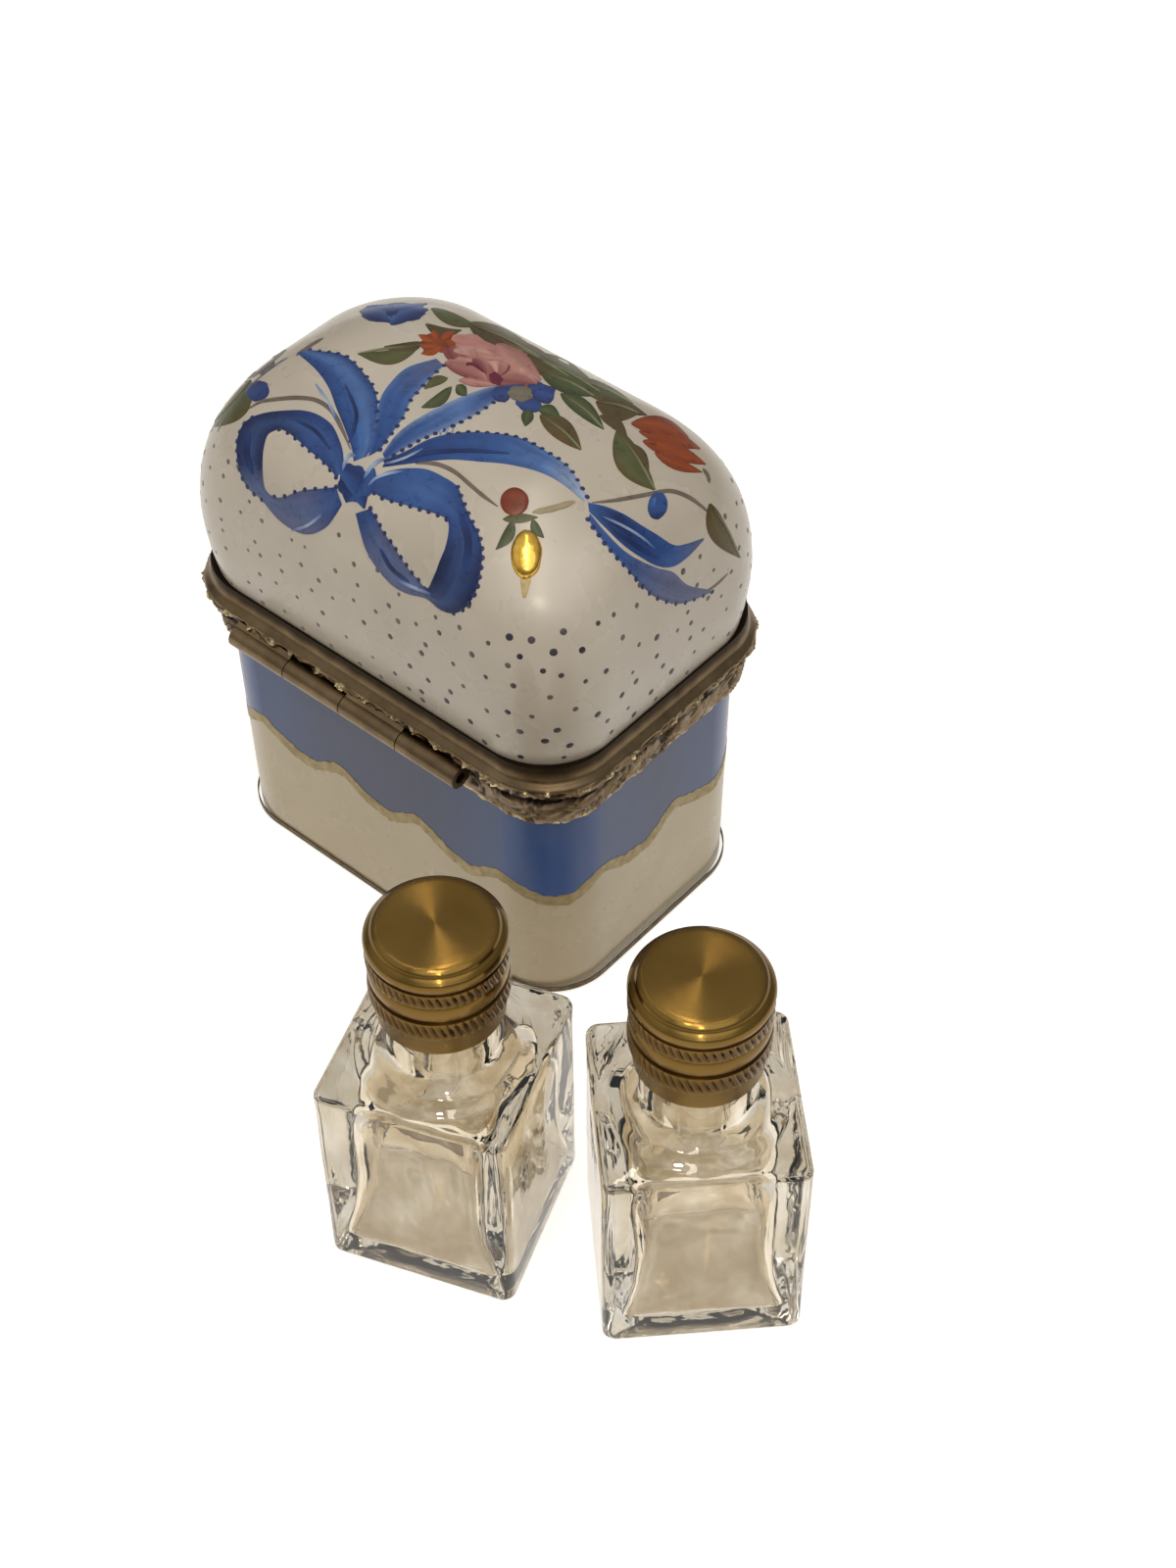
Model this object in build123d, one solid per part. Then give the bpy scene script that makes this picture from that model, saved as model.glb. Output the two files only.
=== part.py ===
from build123d import *
import os
from math import cos, pi, sin

# A porcelain perfume box with a domed hinged lid in brass mounts, and its two square glass
# bottles with screw caps standing beside it. Sizes are in millimetres. The origin is the centre of
# the box's foot: X runs along the box, +Y is the hinge side and -Y the clasp side.

# Base porcelain
foot_length = 49.9
foot_width = 33.3
rim_length = 50.9
rim_width = 33.5
corner_radius = 7.6
base_wall = 3.2
base_floor = 3.4
cavity_corner_radius = 4.4
cavity_floor_round = 1.6
foot_edge_round = 0.7
foot_ring_width = 2.4
foot_recess_depth = 0.6
parting_height = 33.4

# Lid porcelain
lid_belly_end_proud = 1.45
lid_belly_side_proud = 1.4
lid_belly_length = rim_length + 2 * lid_belly_end_proud
lid_belly_width = rim_width + 2 * lid_belly_side_proud
lid_belly_rise = 11.8
lid_top_rise = 28.6
lid_flare = 1.5
lid_wall = 3.0
lid_corner_extra = 1.0
lid_corner_radius = corner_radius + lid_corner_extra
lid_corner_growth = 2.8
lid_end_roll = 16.1
lid_end_power = 2.56
lid_side_power = 2.83
dome_corner_share = 0.95
dome_shares = (0.0, 0.36, 0.6, 0.78, 0.9, 0.965, 0.995)
flare_shares = (1.0, 0.6, 0.25)

# Brass mounts, both wrapped over the porcelain rims
mount_proud = 2.05
mount_length = rim_length + 2 * mount_proud
mount_width = rim_width + 2 * mount_proud
mount_corner_extra = 0.9
mount_corner_radius = corner_radius + mount_corner_extra
parting_inset = 0.7
lid_mount_height = 3.9
lid_mount_bulge_rise = 1.7
lid_mount_waist_share = 0.62
base_mount_height = 4.8
base_mount_step_drop = 2.9
base_mount_step_inset = 1.0
base_mount_ogee_inset = 1.45
base_mount_lip_height = 0.5
mount_edge_thickness = 0.25
flange_thickness = 0.6
flange_setback = 0.4
mount_gap = 0.1
seat_clearance = 0.05
over_cut = 1.0

# Hinge
knuckle_radius = 1.26
knuckle_length = 8.1
knuckle_gap = 0.12
knuckle_count = 4
hinge_offset = 1.1
hinge_drop = 0.8
hinge_reach = 0.3
pin_radius = 0.6
pin_clearance = 0.04
pin_recess = 0.9
groove_clearance = 0.1
web_height = 1.5
web_root_depth = 1.4

# Clasp
stud_radius = 0.95
stud_drop = 2.3
stud_dome_share = 0.5
stud_root_depth = 1.4
tongue_width = 4.6
tongue_thickness = 0.7
tongue_drop = 4.1
tongue_rise = 3.0
tongue_clearance = 0.25
tongue_corner_round = 1.1
tongue_seat_width = 3.6
tongue_seat_height = 2.2
tongue_seat_depth = 1.0
dimple_radius = 1.2
dimple_depth = 0.35
thumb_length = 8.4
thumb_height = 3.4
thumb_thickness = 0.9
thumb_edge_round = 0.35

# Bottles
bottle_side = 19.6
bottle_height = 26.1
bottle_edge_round = 1.3
bottle_rim_round = 0.8
bottle_wall = 2.6
bottle_base_thickness = 4.2
bottle_cavity_height = 17.4
bottle_cavity_round = 2.4
shoulder_height = 4.2
collar_radius = 8.3
collar_height = 0.9
collar_slope = 0.9
neck_cove = 1.1
neck_cove_rise = 0.5
neck_radius = 5.2
neck_root_rise = 2.6
neck_bore_radius = 2.9
lip_round = 0.35

# Caps
cap_radius = 6.7
cap_height = 11.5
cap_top_height = 44.2
cap_shell_wall = 0.7
cap_edge_round = 0.8
cap_band_depth = 0.25
cap_tail_inset = 0.55
cap_tail_height = 2.0
knurl_height = 1.7
knurl_ring_height = 1.3
knurl_tooth_depth = 0.3
knurl_tooth_count = 30
insert_skirt_recess = 0.7
thread_clearance = 0.1
seal_thickness = 0.9
seal_clearance = 0.15

# Where the two bottles stand, and how each is turned about its own axis
left_bottle_place = (-33.1, 41.4, 20.97)
right_bottle_place = (-55.2, 30.5, 45.44)


# Shared forms
def rounded(length, width, radius, height):
    return Pos(0, 0, height) * RectangleRounded(length, width, radius)


def stack(sections, ruled=False):
    return loft([rounded(*section) for section in sections], ruled=ruled)


def mount_outline(inset, height):
    return (
        mount_length - 2 * inset,
        mount_width - 2 * inset,
        mount_corner_radius - inset,
        height,
    )


# Base porcelain: tapered square-shouldered box on a low foot ring
rim_top = parting_height - mount_gap / 2 - flange_thickness
cavity_length = rim_length - 2 * base_wall
cavity_width = rim_width - 2 * base_wall


def base_outer(extra=0.0):
    return stack(
        [
            (foot_length + 2 * extra, foot_width + 2 * extra, corner_radius + extra, 0),
            (rim_length + 2 * extra, rim_width + 2 * extra, corner_radius + extra, rim_top),
        ],
        ruled=True,
    )


def base_porcelain():
    body = base_outer()
    foot_edges = body.faces().sort_by(Axis.Z)[0].edges()
    body = fillet(foot_edges, foot_edge_round)
    recess_length = foot_length - 2 * foot_ring_width
    recess_width = foot_width - 2 * foot_ring_width
    recess_radius = corner_radius - foot_ring_width
    recess = extrude(rounded(recess_length, recess_width, recess_radius, 0), foot_recess_depth)
    cavity_bottom = foot_recess_depth + base_floor
    cavity_depth = parting_height - cavity_bottom
    opening = rounded(cavity_length, cavity_width, cavity_corner_radius, cavity_bottom)
    cavity = extrude(opening, cavity_depth)
    cavity = fillet(cavity.faces().sort_by(Axis.Z)[0].edges(), cavity_floor_round)
    return body - recess - cavity


# Lid porcelain: flared rim, full belly and a long rolled dome, hollow to an even wall
lid_rim_height = parting_height + mount_gap / 2 + flange_thickness
lid_belly_height = parting_height + lid_belly_rise
lid_top_height = parting_height + lid_top_rise


def lid_section(half_length, half_width, radius, height, wall):
    half_length = half_length - wall
    half_width = half_width - wall
    corner = min(radius - wall, dome_corner_share * half_width)
    return (2 * half_length, 2 * half_width, corner, height)


def lid_form(wall):
    belly_length = lid_belly_length / 2
    belly_width = lid_belly_width / 2
    dome_height = lid_top_height - wall - lid_belly_height
    sections = []
    for step in flare_shares:
        height = lid_belly_height - step * (lid_belly_height - lid_rim_height)
        pinch = lid_flare * step**2
        radius = lid_corner_radius - pinch / 2
        sections.append(lid_section(belly_length - pinch, belly_width - pinch, radius, height, wall))
    for step in dome_shares:
        height = lid_belly_height + step * dome_height
        end_pull = lid_end_roll * (1 - (1 - step**lid_end_power) ** (1 / lid_end_power))
        side_share = (1 - step**lid_side_power) ** (1 / lid_side_power)
        half_width = wall + (belly_width - wall) * side_share
        radius = lid_corner_radius + lid_corner_growth * step
        sections.append(lid_section(belly_length - end_pull, half_width, radius, height, wall))
    return stack(sections)


def lid_porcelain():
    return lid_form(0) - lid_form(lid_wall)


# Brass mounts: a shaped outer band whose flange turns in over the porcelain rim
lid_mount_bottom = parting_height + mount_gap / 2
base_mount_top = parting_height - mount_gap / 2
lid_mount_top = parting_height + lid_mount_height
base_mount_bottom = parting_height - base_mount_height


def edge_inset(porcelain_length):
    return (mount_length - porcelain_length) / 2 - mount_edge_thickness - seat_clearance


def lid_length_at(height):
    step = (lid_belly_height - height) / (lid_belly_height - lid_rim_height)
    return lid_belly_length - 2 * lid_flare * step**2


def lid_band_outer():
    bulge_height = parting_height + lid_mount_bulge_rise
    top_inset = edge_inset(lid_length_at(lid_mount_top))
    waist_height = (bulge_height + lid_mount_top) / 2
    return stack(
        [
            mount_outline(parting_inset, lid_mount_bottom),
            mount_outline(parting_inset / 4, (lid_mount_bottom + bulge_height) / 2),
            mount_outline(0, bulge_height),
            mount_outline(lid_mount_waist_share * top_inset, waist_height),
            mount_outline(top_inset, lid_mount_top),
        ],
        ruled=True,
    )


def base_band_outer():
    bottom_inset = edge_inset(rim_length)
    step_height = parting_height - base_mount_step_drop
    return stack(
        [
            mount_outline(bottom_inset, base_mount_bottom),
            mount_outline(base_mount_ogee_inset, (step_height + base_mount_bottom) / 2),
            mount_outline(base_mount_step_inset, step_height),
            mount_outline(parting_inset, base_mount_top - base_mount_lip_height),
            mount_outline(parting_inset, base_mount_top),
        ],
        ruled=True,
    )


def mount_opening():
    length = cavity_length + 2 * flange_setback
    width = cavity_width + 2 * flange_setback
    radius = cavity_corner_radius + flange_setback
    low = base_mount_bottom - over_cut
    high = lid_mount_top + over_cut
    return extrude(rounded(length, width, radius, low), high - low)


def lid_seat():
    middle = (lid_rim_height + lid_mount_top) / 2
    side_drop = lid_belly_length - lid_belly_width
    sections = []
    for height in (lid_rim_height, middle, lid_mount_top + seat_clearance):
        length = lid_length_at(height) + 2 * seat_clearance
        pinch = (lid_belly_length - length) / 2
        radius = lid_corner_radius - pinch / 2
        sections.append((length, length - side_drop, radius, height))
    return stack(sections, ruled=True)


# Hinge line: both mounts are grooved along it, so that the knuckles lie close to the box
hinge_y = mount_width / 2 + hinge_reach
hinge_z = parting_height - hinge_drop
hinge_length = knuckle_count * knuckle_length
hinge_start = hinge_offset - hinge_length / 2


def along_x(radius, length, start):
    rod = Cylinder(radius, length, align=(Align.CENTER, Align.CENTER, Align.MIN))
    return Pos(start, hinge_y, hinge_z) * Rot(0, 90, 0) * rod


def hinge_groove():
    radius = knuckle_radius + groove_clearance
    return along_x(radius, hinge_length + 2 * knuckle_gap, hinge_start - knuckle_gap)


def lid_band():
    return lid_band_outer() - hinge_groove()


def base_band():
    return base_band_outer() - hinge_groove()


def lid_mount():
    return lid_band() - lid_seat() - mount_opening()


def base_mount():
    return base_band() - base_outer(seat_clearance) - mount_opening()


# Hinge: four interleaved knuckles on one pin, each soldered to its own mount by a short web
def knuckle(index, on_lid):
    start = hinge_start + index * knuckle_length + knuckle_gap / 2
    length = knuckle_length - knuckle_gap
    barrel = along_x(knuckle_radius, length, start)
    face_y = mount_width / 2 - web_root_depth
    if on_lid:
        low = lid_mount_bottom
        web_points = [
            (face_y, low),
            (hinge_y - knuckle_radius / 2, low),
            (hinge_y, hinge_z + knuckle_radius),
            (face_y, low + web_height),
        ]
        band = lid_band()
    else:
        high = base_mount_top
        web_points = [
            (face_y, high),
            (hinge_y - knuckle_radius / 2, high),
            (hinge_y, hinge_z - knuckle_radius),
            (face_y, high - web_height),
        ]
        band = base_band()
    web = Pos(start, 0, 0) * extrude(Plane.YZ * make_face(Polyline(*web_points, close=True)), length)
    bore = along_x(pin_radius + pin_clearance, length + 2 * over_cut, start - over_cut)
    return barrel + web - band - bore


def hinge_pin():
    return along_x(pin_radius, hinge_length - 2 * pin_recess, hinge_start + pin_recess)


# Clasp: a sprung tongue under a shell-edged thumb piece, closing over a domed stud
clasp_face = -mount_width / 2 - tongue_clearance


def clasp_tongue():
    low = parting_height - tongue_drop
    high = parting_height + tongue_rise
    strip = Pos(0, 0, low) * Box(
        tongue_width, tongue_thickness, high - low, align=(Align.CENTER, Align.MAX, Align.MIN)
    )
    strip = Pos(0, clasp_face, 0) * strip
    corners = strip.edges().filter_by(Axis.Y)
    strip = fillet(corners, tongue_corner_round)
    seat = Box(
        tongue_seat_width,
        tongue_seat_depth,
        tongue_seat_height,
        align=(Align.CENTER, Align.MIN, Align.CENTER),
    )
    seat = Pos(0, clasp_face, parting_height + lid_mount_bulge_rise) * seat
    dimple_centre = (0, clasp_face + dimple_radius - dimple_depth, parting_height - stud_drop)
    dimple = Pos(*dimple_centre) * Sphere(dimple_radius)
    return strip + (seat - lid_band_outer()) - dimple


def clasp_thumb_piece():
    middle = parting_height + tongue_rise / 2
    plate = Plane.XZ.offset(-clasp_face + tongue_thickness) * Pos(0, middle) * Ellipse(
        thumb_length / 2, thumb_height / 2
    )
    piece = extrude(plate, thumb_thickness)
    front = piece.faces().sort_by(Axis.Y)[0]
    return fillet(front.edges(), thumb_edge_round)


def clasp_stud():
    height = parting_height - stud_drop
    root = -mount_width / 2 + stud_root_depth
    tip = clasp_face + dimple_depth / 2
    dome_height = stud_dome_share * stud_radius
    shank_length = root - tip - dome_height
    shank = Cylinder(stud_radius, shank_length, align=(Align.CENTER, Align.CENTER, Align.MIN))
    nose = Pos(0, 0, shank_length) * scale(Sphere(stud_radius), by=(1, 1, stud_dome_share))
    stud = Pos(0, root, height) * Rot(90, 0, 0) * (shank + nose)
    return stud - base_band_outer()


# Bottles: thick moulded glass, square with soft edges, round collar and screw neck
lip_height = cap_top_height - 2 * cap_shell_wall - seal_thickness


def bottle_glass():
    block = Box(bottle_side, bottle_side, bottle_height, align=(Align.CENTER, Align.CENTER, Align.MIN))
    block = fillet(block.edges().filter_by(Axis.Z), bottle_edge_round)
    rims = block.faces().filter_by(Axis.Z).edges()
    block = fillet(rims, bottle_rim_round)
    collar_top = bottle_height + collar_height
    root_height = bottle_height + neck_root_rise
    turned = make_face(
        Polyline(
            (0, bottle_height - over_cut),
            (collar_radius, bottle_height - over_cut),
            (collar_radius, bottle_height + collar_height / 2),
            (collar_radius - collar_slope, collar_top),
            (neck_radius + neck_cove, collar_top + neck_cove_rise),
            (neck_radius, root_height),
            (neck_radius, lip_height - lip_round),
            (neck_radius - lip_round, lip_height),
            (0, lip_height),
            close=True,
        )
    )
    neck = revolve(Plane.XZ * turned, Axis.Z)
    inner_side = bottle_side - 2 * bottle_wall
    hollow = Box(
        inner_side, inner_side, bottle_cavity_height, align=(Align.CENTER, Align.CENTER, Align.MIN)
    )
    hollow = Pos(0, 0, bottle_base_thickness) * fillet(hollow.edges(), bottle_cavity_round)
    hollow_top = bottle_base_thickness + bottle_cavity_height
    throat_foot = hollow_top - bottle_cavity_round / 2
    funnel = make_face(
        Polyline(
            (0, throat_foot),
            (inner_side / 2 - bottle_cavity_round, throat_foot),
            (neck_bore_radius, throat_foot + shoulder_height),
            (neck_bore_radius, lip_height + over_cut),
            (0, lip_height + over_cut),
            close=True,
        )
    )
    bore = revolve(Plane.XZ * funnel, Axis.Z)
    return block + neck - hollow - bore


# Caps: turned brass shell with two knurled bands, threaded insert and sealing disc
cap_bottom_height = cap_top_height - cap_height


def knurl_band(low):
    pitch_angle = 2 * pi / knurl_tooth_count
    outer = cap_radius
    inner = cap_radius - knurl_tooth_depth
    points = []
    for tooth in range(knurl_tooth_count):
        tip_angle = tooth * pitch_angle
        root_angle = tip_angle + pitch_angle / 2
        points.append((outer * cos(tip_angle), outer * sin(tip_angle)))
        points.append((inner * cos(root_angle), inner * sin(root_angle)))
    return Pos(0, 0, low) * extrude(make_face(Polyline(*points, close=True)), knurl_height)


def cap_shell():
    tail_top = cap_bottom_height + cap_tail_height
    upper_knurl = tail_top + knurl_height + knurl_ring_height
    head_low = upper_knurl + knurl_height
    tail_radius = cap_radius - cap_tail_inset
    core_radius = cap_radius - knurl_tooth_depth
    ring_low = tail_top + knurl_height
    outline = make_face(
        Polyline(
            (0, cap_bottom_height),
            (tail_radius, cap_bottom_height),
            (tail_radius, tail_top),
            (core_radius, tail_top),
            (core_radius, ring_low),
            (cap_radius - cap_band_depth / 2, ring_low + cap_band_depth),
            (cap_radius - cap_band_depth / 2, ring_low + knurl_ring_height - cap_band_depth),
            (core_radius, ring_low + knurl_ring_height),
            (core_radius, head_low),
            (cap_radius, head_low + cap_band_depth),
            (cap_radius, cap_top_height),
            (0, cap_top_height),
            close=True,
        )
    )
    turned = revolve(Plane.XZ * outline, Axis.Z)
    turned = fillet(turned.edges().group_by(Axis.Z)[-1], cap_edge_round)
    turned = turned + knurl_band(tail_top) + knurl_band(upper_knurl)
    inside_height = cap_height - cap_shell_wall
    inside = Cylinder(
        tail_radius - cap_shell_wall, inside_height, align=(Align.CENTER, Align.CENTER, Align.MIN)
    )
    return turned - Pos(0, 0, cap_bottom_height) * inside


def cap_insert():
    outer = cap_radius - cap_tail_inset - cap_shell_wall - seat_clearance / 2
    low = cap_bottom_height + insert_skirt_recess
    high = cap_top_height - cap_shell_wall - seat_clearance / 2
    body = Cylinder(outer, high - low, align=(Align.CENTER, Align.CENTER, Align.MIN))
    thread_space = Cylinder(
        neck_radius + thread_clearance,
        high - low - cap_shell_wall + seat_clearance / 2,
        align=(Align.CENTER, Align.CENTER, Align.MIN),
    )
    return Pos(0, 0, low) * (body - thread_space)


def cap_seal():
    disc = Cylinder(
        neck_radius - seal_clearance, seal_thickness, align=(Align.CENTER, Align.CENTER, Align.MIN)
    )
    return Pos(0, 0, lip_height) * disc


nodes = {
    "base_porcelain": base_porcelain(),
    "base_mount": base_mount(),
    "base_knuckle_near": knuckle(0, on_lid=False),
    "base_knuckle_far": knuckle(2, on_lid=False),
    "hinge_pin": hinge_pin(),
    "clasp_stud": clasp_stud(),
    "lid_porcelain": lid_porcelain(),
    "lid_mount": lid_mount(),
    "lid_knuckle_near": knuckle(1, on_lid=True),
    "lid_knuckle_far": knuckle(3, on_lid=True),
    "clasp_tongue": clasp_tongue(),
    "clasp_thumb_piece": clasp_thumb_piece(),
}

bottle_pieces = {
    "bottle_glass": bottle_glass(),
    "cap_shell": cap_shell(),
    "cap_insert": cap_insert(),
    "cap_seal": cap_seal(),
}
for side, (x, y, turn) in (("left", left_bottle_place), ("right", right_bottle_place)):
    for name, piece in bottle_pieces.items():
        nodes[side + "_" + name] = Pos(x, y, 0) * Rot(0, 0, turn) * piece

os.makedirs("parts", exist_ok=True)
for name, shape in nodes.items():
    export_step(shape, "parts/" + name + ".step")
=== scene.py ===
import math
import random

import bmesh
import bpy
from mathutils import Matrix, Vector, noise
from mathutils.bvhtree import BVHTree


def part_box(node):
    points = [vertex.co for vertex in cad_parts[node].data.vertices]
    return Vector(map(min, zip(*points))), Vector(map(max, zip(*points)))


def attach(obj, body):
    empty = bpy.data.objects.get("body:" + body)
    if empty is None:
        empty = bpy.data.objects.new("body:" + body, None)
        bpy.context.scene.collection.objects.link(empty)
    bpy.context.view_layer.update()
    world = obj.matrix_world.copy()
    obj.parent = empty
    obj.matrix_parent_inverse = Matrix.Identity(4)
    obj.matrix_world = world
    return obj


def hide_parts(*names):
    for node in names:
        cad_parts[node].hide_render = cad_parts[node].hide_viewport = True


# The finish of a porcelain perfume box: glazed and painted porcelain, chased brass mounts, two
# glass bottles with knurled brass caps. Lengths are in millimetres; each finished piece is brought
# to metres by MM. Points of the painting are places in the photograph's frame of 1200 by 1600.
MM = 0.001
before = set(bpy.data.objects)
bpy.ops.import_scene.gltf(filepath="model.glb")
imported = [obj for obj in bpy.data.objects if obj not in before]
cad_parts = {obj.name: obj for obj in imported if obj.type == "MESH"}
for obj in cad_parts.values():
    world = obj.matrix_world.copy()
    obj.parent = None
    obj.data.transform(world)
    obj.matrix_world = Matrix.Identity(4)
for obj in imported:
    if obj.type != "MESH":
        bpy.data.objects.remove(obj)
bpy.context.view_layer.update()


def node_box(node):
    low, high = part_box(node)
    return low / MM, high / MM


# Camera: place and angles of the photograph's viewpoint
PHOTO_WIDTH = 1200
PHOTO_HEIGHT = 1600
FOCAL_PIXELS = 2640.8
SENSOR_MM = 36.0
CAMERA_PLACE = Vector((-141.9, 145.0, 222.9))
CAMERA_YAW = math.radians(138.9)
CAMERA_PITCH = math.radians(47.03)
CAMERA_ROLL = math.radians(-0.57)

# Lid, from its own solid: the half sizes at the belly and the three heights
lid_low, lid_high = node_box("lid_porcelain")
LID_HALF_LENGTH = (lid_high.x - lid_low.x) / 2
LID_HALF_WIDTH = (lid_high.y - lid_low.y) / 2
LID_RIM_HEIGHT = lid_low.z
LID_TOP_HEIGHT = lid_high.z
LID_BELLY_HEIGHT = 45.2
LID_FLARE = 1.5
LID_WALL = 3.0
LID_CORNER = 8.6
LID_CORNER_GROWTH = 2.8
LID_END_ROLL = 16.1
LID_END_POWER = 2.56
LID_SIDE_POWER = 2.83
DOME_CORNER_LIMIT = 0.95

# Base
base_low, base_high = node_box("base_porcelain")
BASE_HALF_LENGTH = (base_high.x - base_low.x) / 2
BASE_HALF_WIDTH = (base_high.y - base_low.y) / 2
BASE_FOOT_LENGTH = 24.95
BASE_FOOT_WIDTH = 16.65
BASE_TOP = base_high.z
BASE_CORNER = 7.6
BASE_WALL = 3.2
BASE_FLOOR_HEIGHT = 4.0
CAVITY_CORNER = 4.4
CAVITY_ROUND = 1.6
FOOT_ROUND = 0.4
FOOT_RING = 2.4
FOOT_RECESS = 0.6

# Brass mounts
mount_low, mount_high = node_box("lid_mount")
MOUNT_HALF_LENGTH = (mount_high.x - mount_low.x) / 2
MOUNT_HALF_WIDTH = (mount_high.y - mount_low.y) / 2
MOUNT_CORNER = 8.5
LID_MOUNT_TOP = mount_high.z
LID_MOUNT_BOTTOM = mount_low.z
BASE_MOUNT_BOTTOM = node_box("base_mount")[0].z
BASE_MOUNT_TOP = node_box("base_mount")[1].z

# Bottles and caps: each bottle's own axis and its turn about it
BOTTLES = {
    "left": (Vector((-33.1, 41.4, 0.0)), math.radians(20.97)),
    "right": (Vector((-55.2, 30.5, 0.0)), math.radians(45.44)),
}
BOTTLE_HALF = 9.8
BOTTLE_HEIGHT = 26.1
BOTTLE_EDGE = 1.3
CAP_RADIUS = 6.7
CAP_TOP = node_box("left_cap_shell")[1].z
CAP_BOTTOM = node_box("left_cap_shell")[0].z
LIP_HEIGHT = node_box("left_bottle_glass")[1].z


# Small helpers
def colour(code):
    """A colour written as sRGB hex, as linear red, green, blue and alpha."""
    channels = [int(code[start : start + 2], 16) / 255 for start in (1, 3, 5)]
    linear = [c / 12.92 if c <= 0.04045 else ((c + 0.055) / 1.055) ** 2.4 for c in channels]
    return (*linear, 1.0)


def mixed(first, second, share):
    return tuple(a + (b - a) * share for a, b in zip(first, second))


def ease(low, high, value):
    share = min(max((value - low) / (high - low), 0.0), 1.0)
    return share * share * (3 - 2 * share)


def wander(*place):
    """Smooth noise from -1 to 1, the same at every run."""
    return noise.noise(Vector((list(place) + [0.0, 0.0])[:3]))


def rounded_outline(half_length, half_width, radius, height, steps):
    """Points of a rounded rectangle from the middle of the hinge side, through -X, and round."""
    long_steps, short_steps, corner_steps = steps
    radius = min(radius, half_width * 0.98)
    corners = [(-1, 1, 90), (-1, -1, 180), (1, -1, 270), (1, 1, 0)]
    points = []
    for index, (side_x, side_y, start) in enumerate(corners):
        centre = Vector((side_x * (half_length - radius), side_y * (half_width - radius), height))
        for step in range(corner_steps + 1):
            angle = math.radians(start + 90 * step / corner_steps)
            points.append(centre + radius * Vector((math.cos(angle), math.sin(angle), 0)))
        straight = short_steps if index % 2 == 0 else long_steps
        next_x, next_y, next_start = corners[(index + 1) % 4]
        angle = math.radians(next_start)
        centre = Vector((next_x * (half_length - radius), next_y * (half_width - radius), height))
        end = centre + radius * Vector((math.cos(angle), math.sin(angle), 0))
        begin = points[-1]
        points += [begin.lerp(end, step / straight) for step in range(1, straight)]
    return points


def outline_travel(points):
    """How far along the outline each point lies, from the first."""
    travel = [0.0]
    for before, after in zip(points, points[1:]):
        travel.append(travel[-1] + (after - before).length)
    return travel


def outward_at(outline, index):
    """The level direction that points out of an outline at one of its points."""
    before = outline[index - 1]
    after = outline[(index + 1) % len(outline)]
    along = (after - before).normalized()
    outward = Vector((along.y, -along.x, 0))
    return -outward if outward.dot(outline[index]) < 0 else outward


def quarter_turn(steps):
    """The sine and cosine at even steps of a quarter turn, for a rounded edge."""
    turns = [math.pi / 2 * step / steps for step in range(steps + 1)]
    return [(math.sin(turn), math.cos(turn)) for turn in turns]


def padded_line(points):
    """Points as vectors, with one more before the first and after the last."""
    places = [Vector((x, y, 0)) for x, y in points]
    return [2 * places[0] - places[1]] + places + [2 * places[-1] - places[-2]]


def curve_point(padded, span, share):
    """A point of the smooth curve through a padded line, a share of the way along a span."""
    p0, p1, p2, p3 = padded[span : span + 4]
    bend = 2 * p0 - 5 * p1 + 4 * p2 - p3
    twist = 3 * p1 - p0 - 3 * p2 + p3
    return 0.5 * (2 * p1 + (p2 - p0) * share + bend * share**2 + twist * share**3)


def ring_chain(rings, close_first=False, close_last=False, grime_and_painted_light=None):
    """A skin through rings of equal counts, grown from one circle by extruding its edges."""
    skin = bmesh.new()
    count = len(rings[0])
    slot = skin.verts.layers.int.new("slot")
    # This per-vertex layer carries soot and wear, and also painted shade in recesses and painted glints on
    # ridges.
    dirt_and_painted_light = skin.verts.layers.float.new("grime_and_painted_light")
    current = bmesh.ops.create_circle(skin, segments=count, radius=1.0)["verts"]
    for index, vert in enumerate(current):
        vert[slot] = index
        vert.co = rings[0][index]
        vert[dirt_and_painted_light] = grime_and_painted_light[0][index] if grime_and_painted_light else 0.0
    edges = list(skin.edges)
    if close_first:
        bmesh.ops.edgeloop_fill(skin, edges=edges)
    for row, ring in enumerate(rings[1:], 1):
        grown = bmesh.ops.extrude_edge_only(skin, edges=edges)["geom"]
        fresh = [item for item in grown if isinstance(item, bmesh.types.BMVert)]
        edges = [item for item in grown if isinstance(item, bmesh.types.BMEdge)]
        kept = set(fresh)
        edges = [edge for edge in edges if edge.verts[0] in kept and edge.verts[1] in kept]
        for vert in fresh:
            vert.co = ring[vert[slot]]
            vert[dirt_and_painted_light] = grime_and_painted_light[row][vert[slot]] if grime_and_painted_light else 0.0
    if close_last:
        bmesh.ops.edgeloop_fill(skin, edges=edges)
    return skin


def closed_chain(rings, grime_and_painted_light=None):
    """A tube-like skin whose last ring meets its first."""
    skin = ring_chain(rings + [rings[0]], grime_and_painted_light=grime_and_painted_light + [grime_and_painted_light[0]] if grime_and_painted_light else None)
    bmesh.ops.remove_doubles(skin, verts=skin.verts, dist=0.0004)
    bmesh.ops.recalc_face_normals(skin, faces=skin.faces)
    return skin


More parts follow.
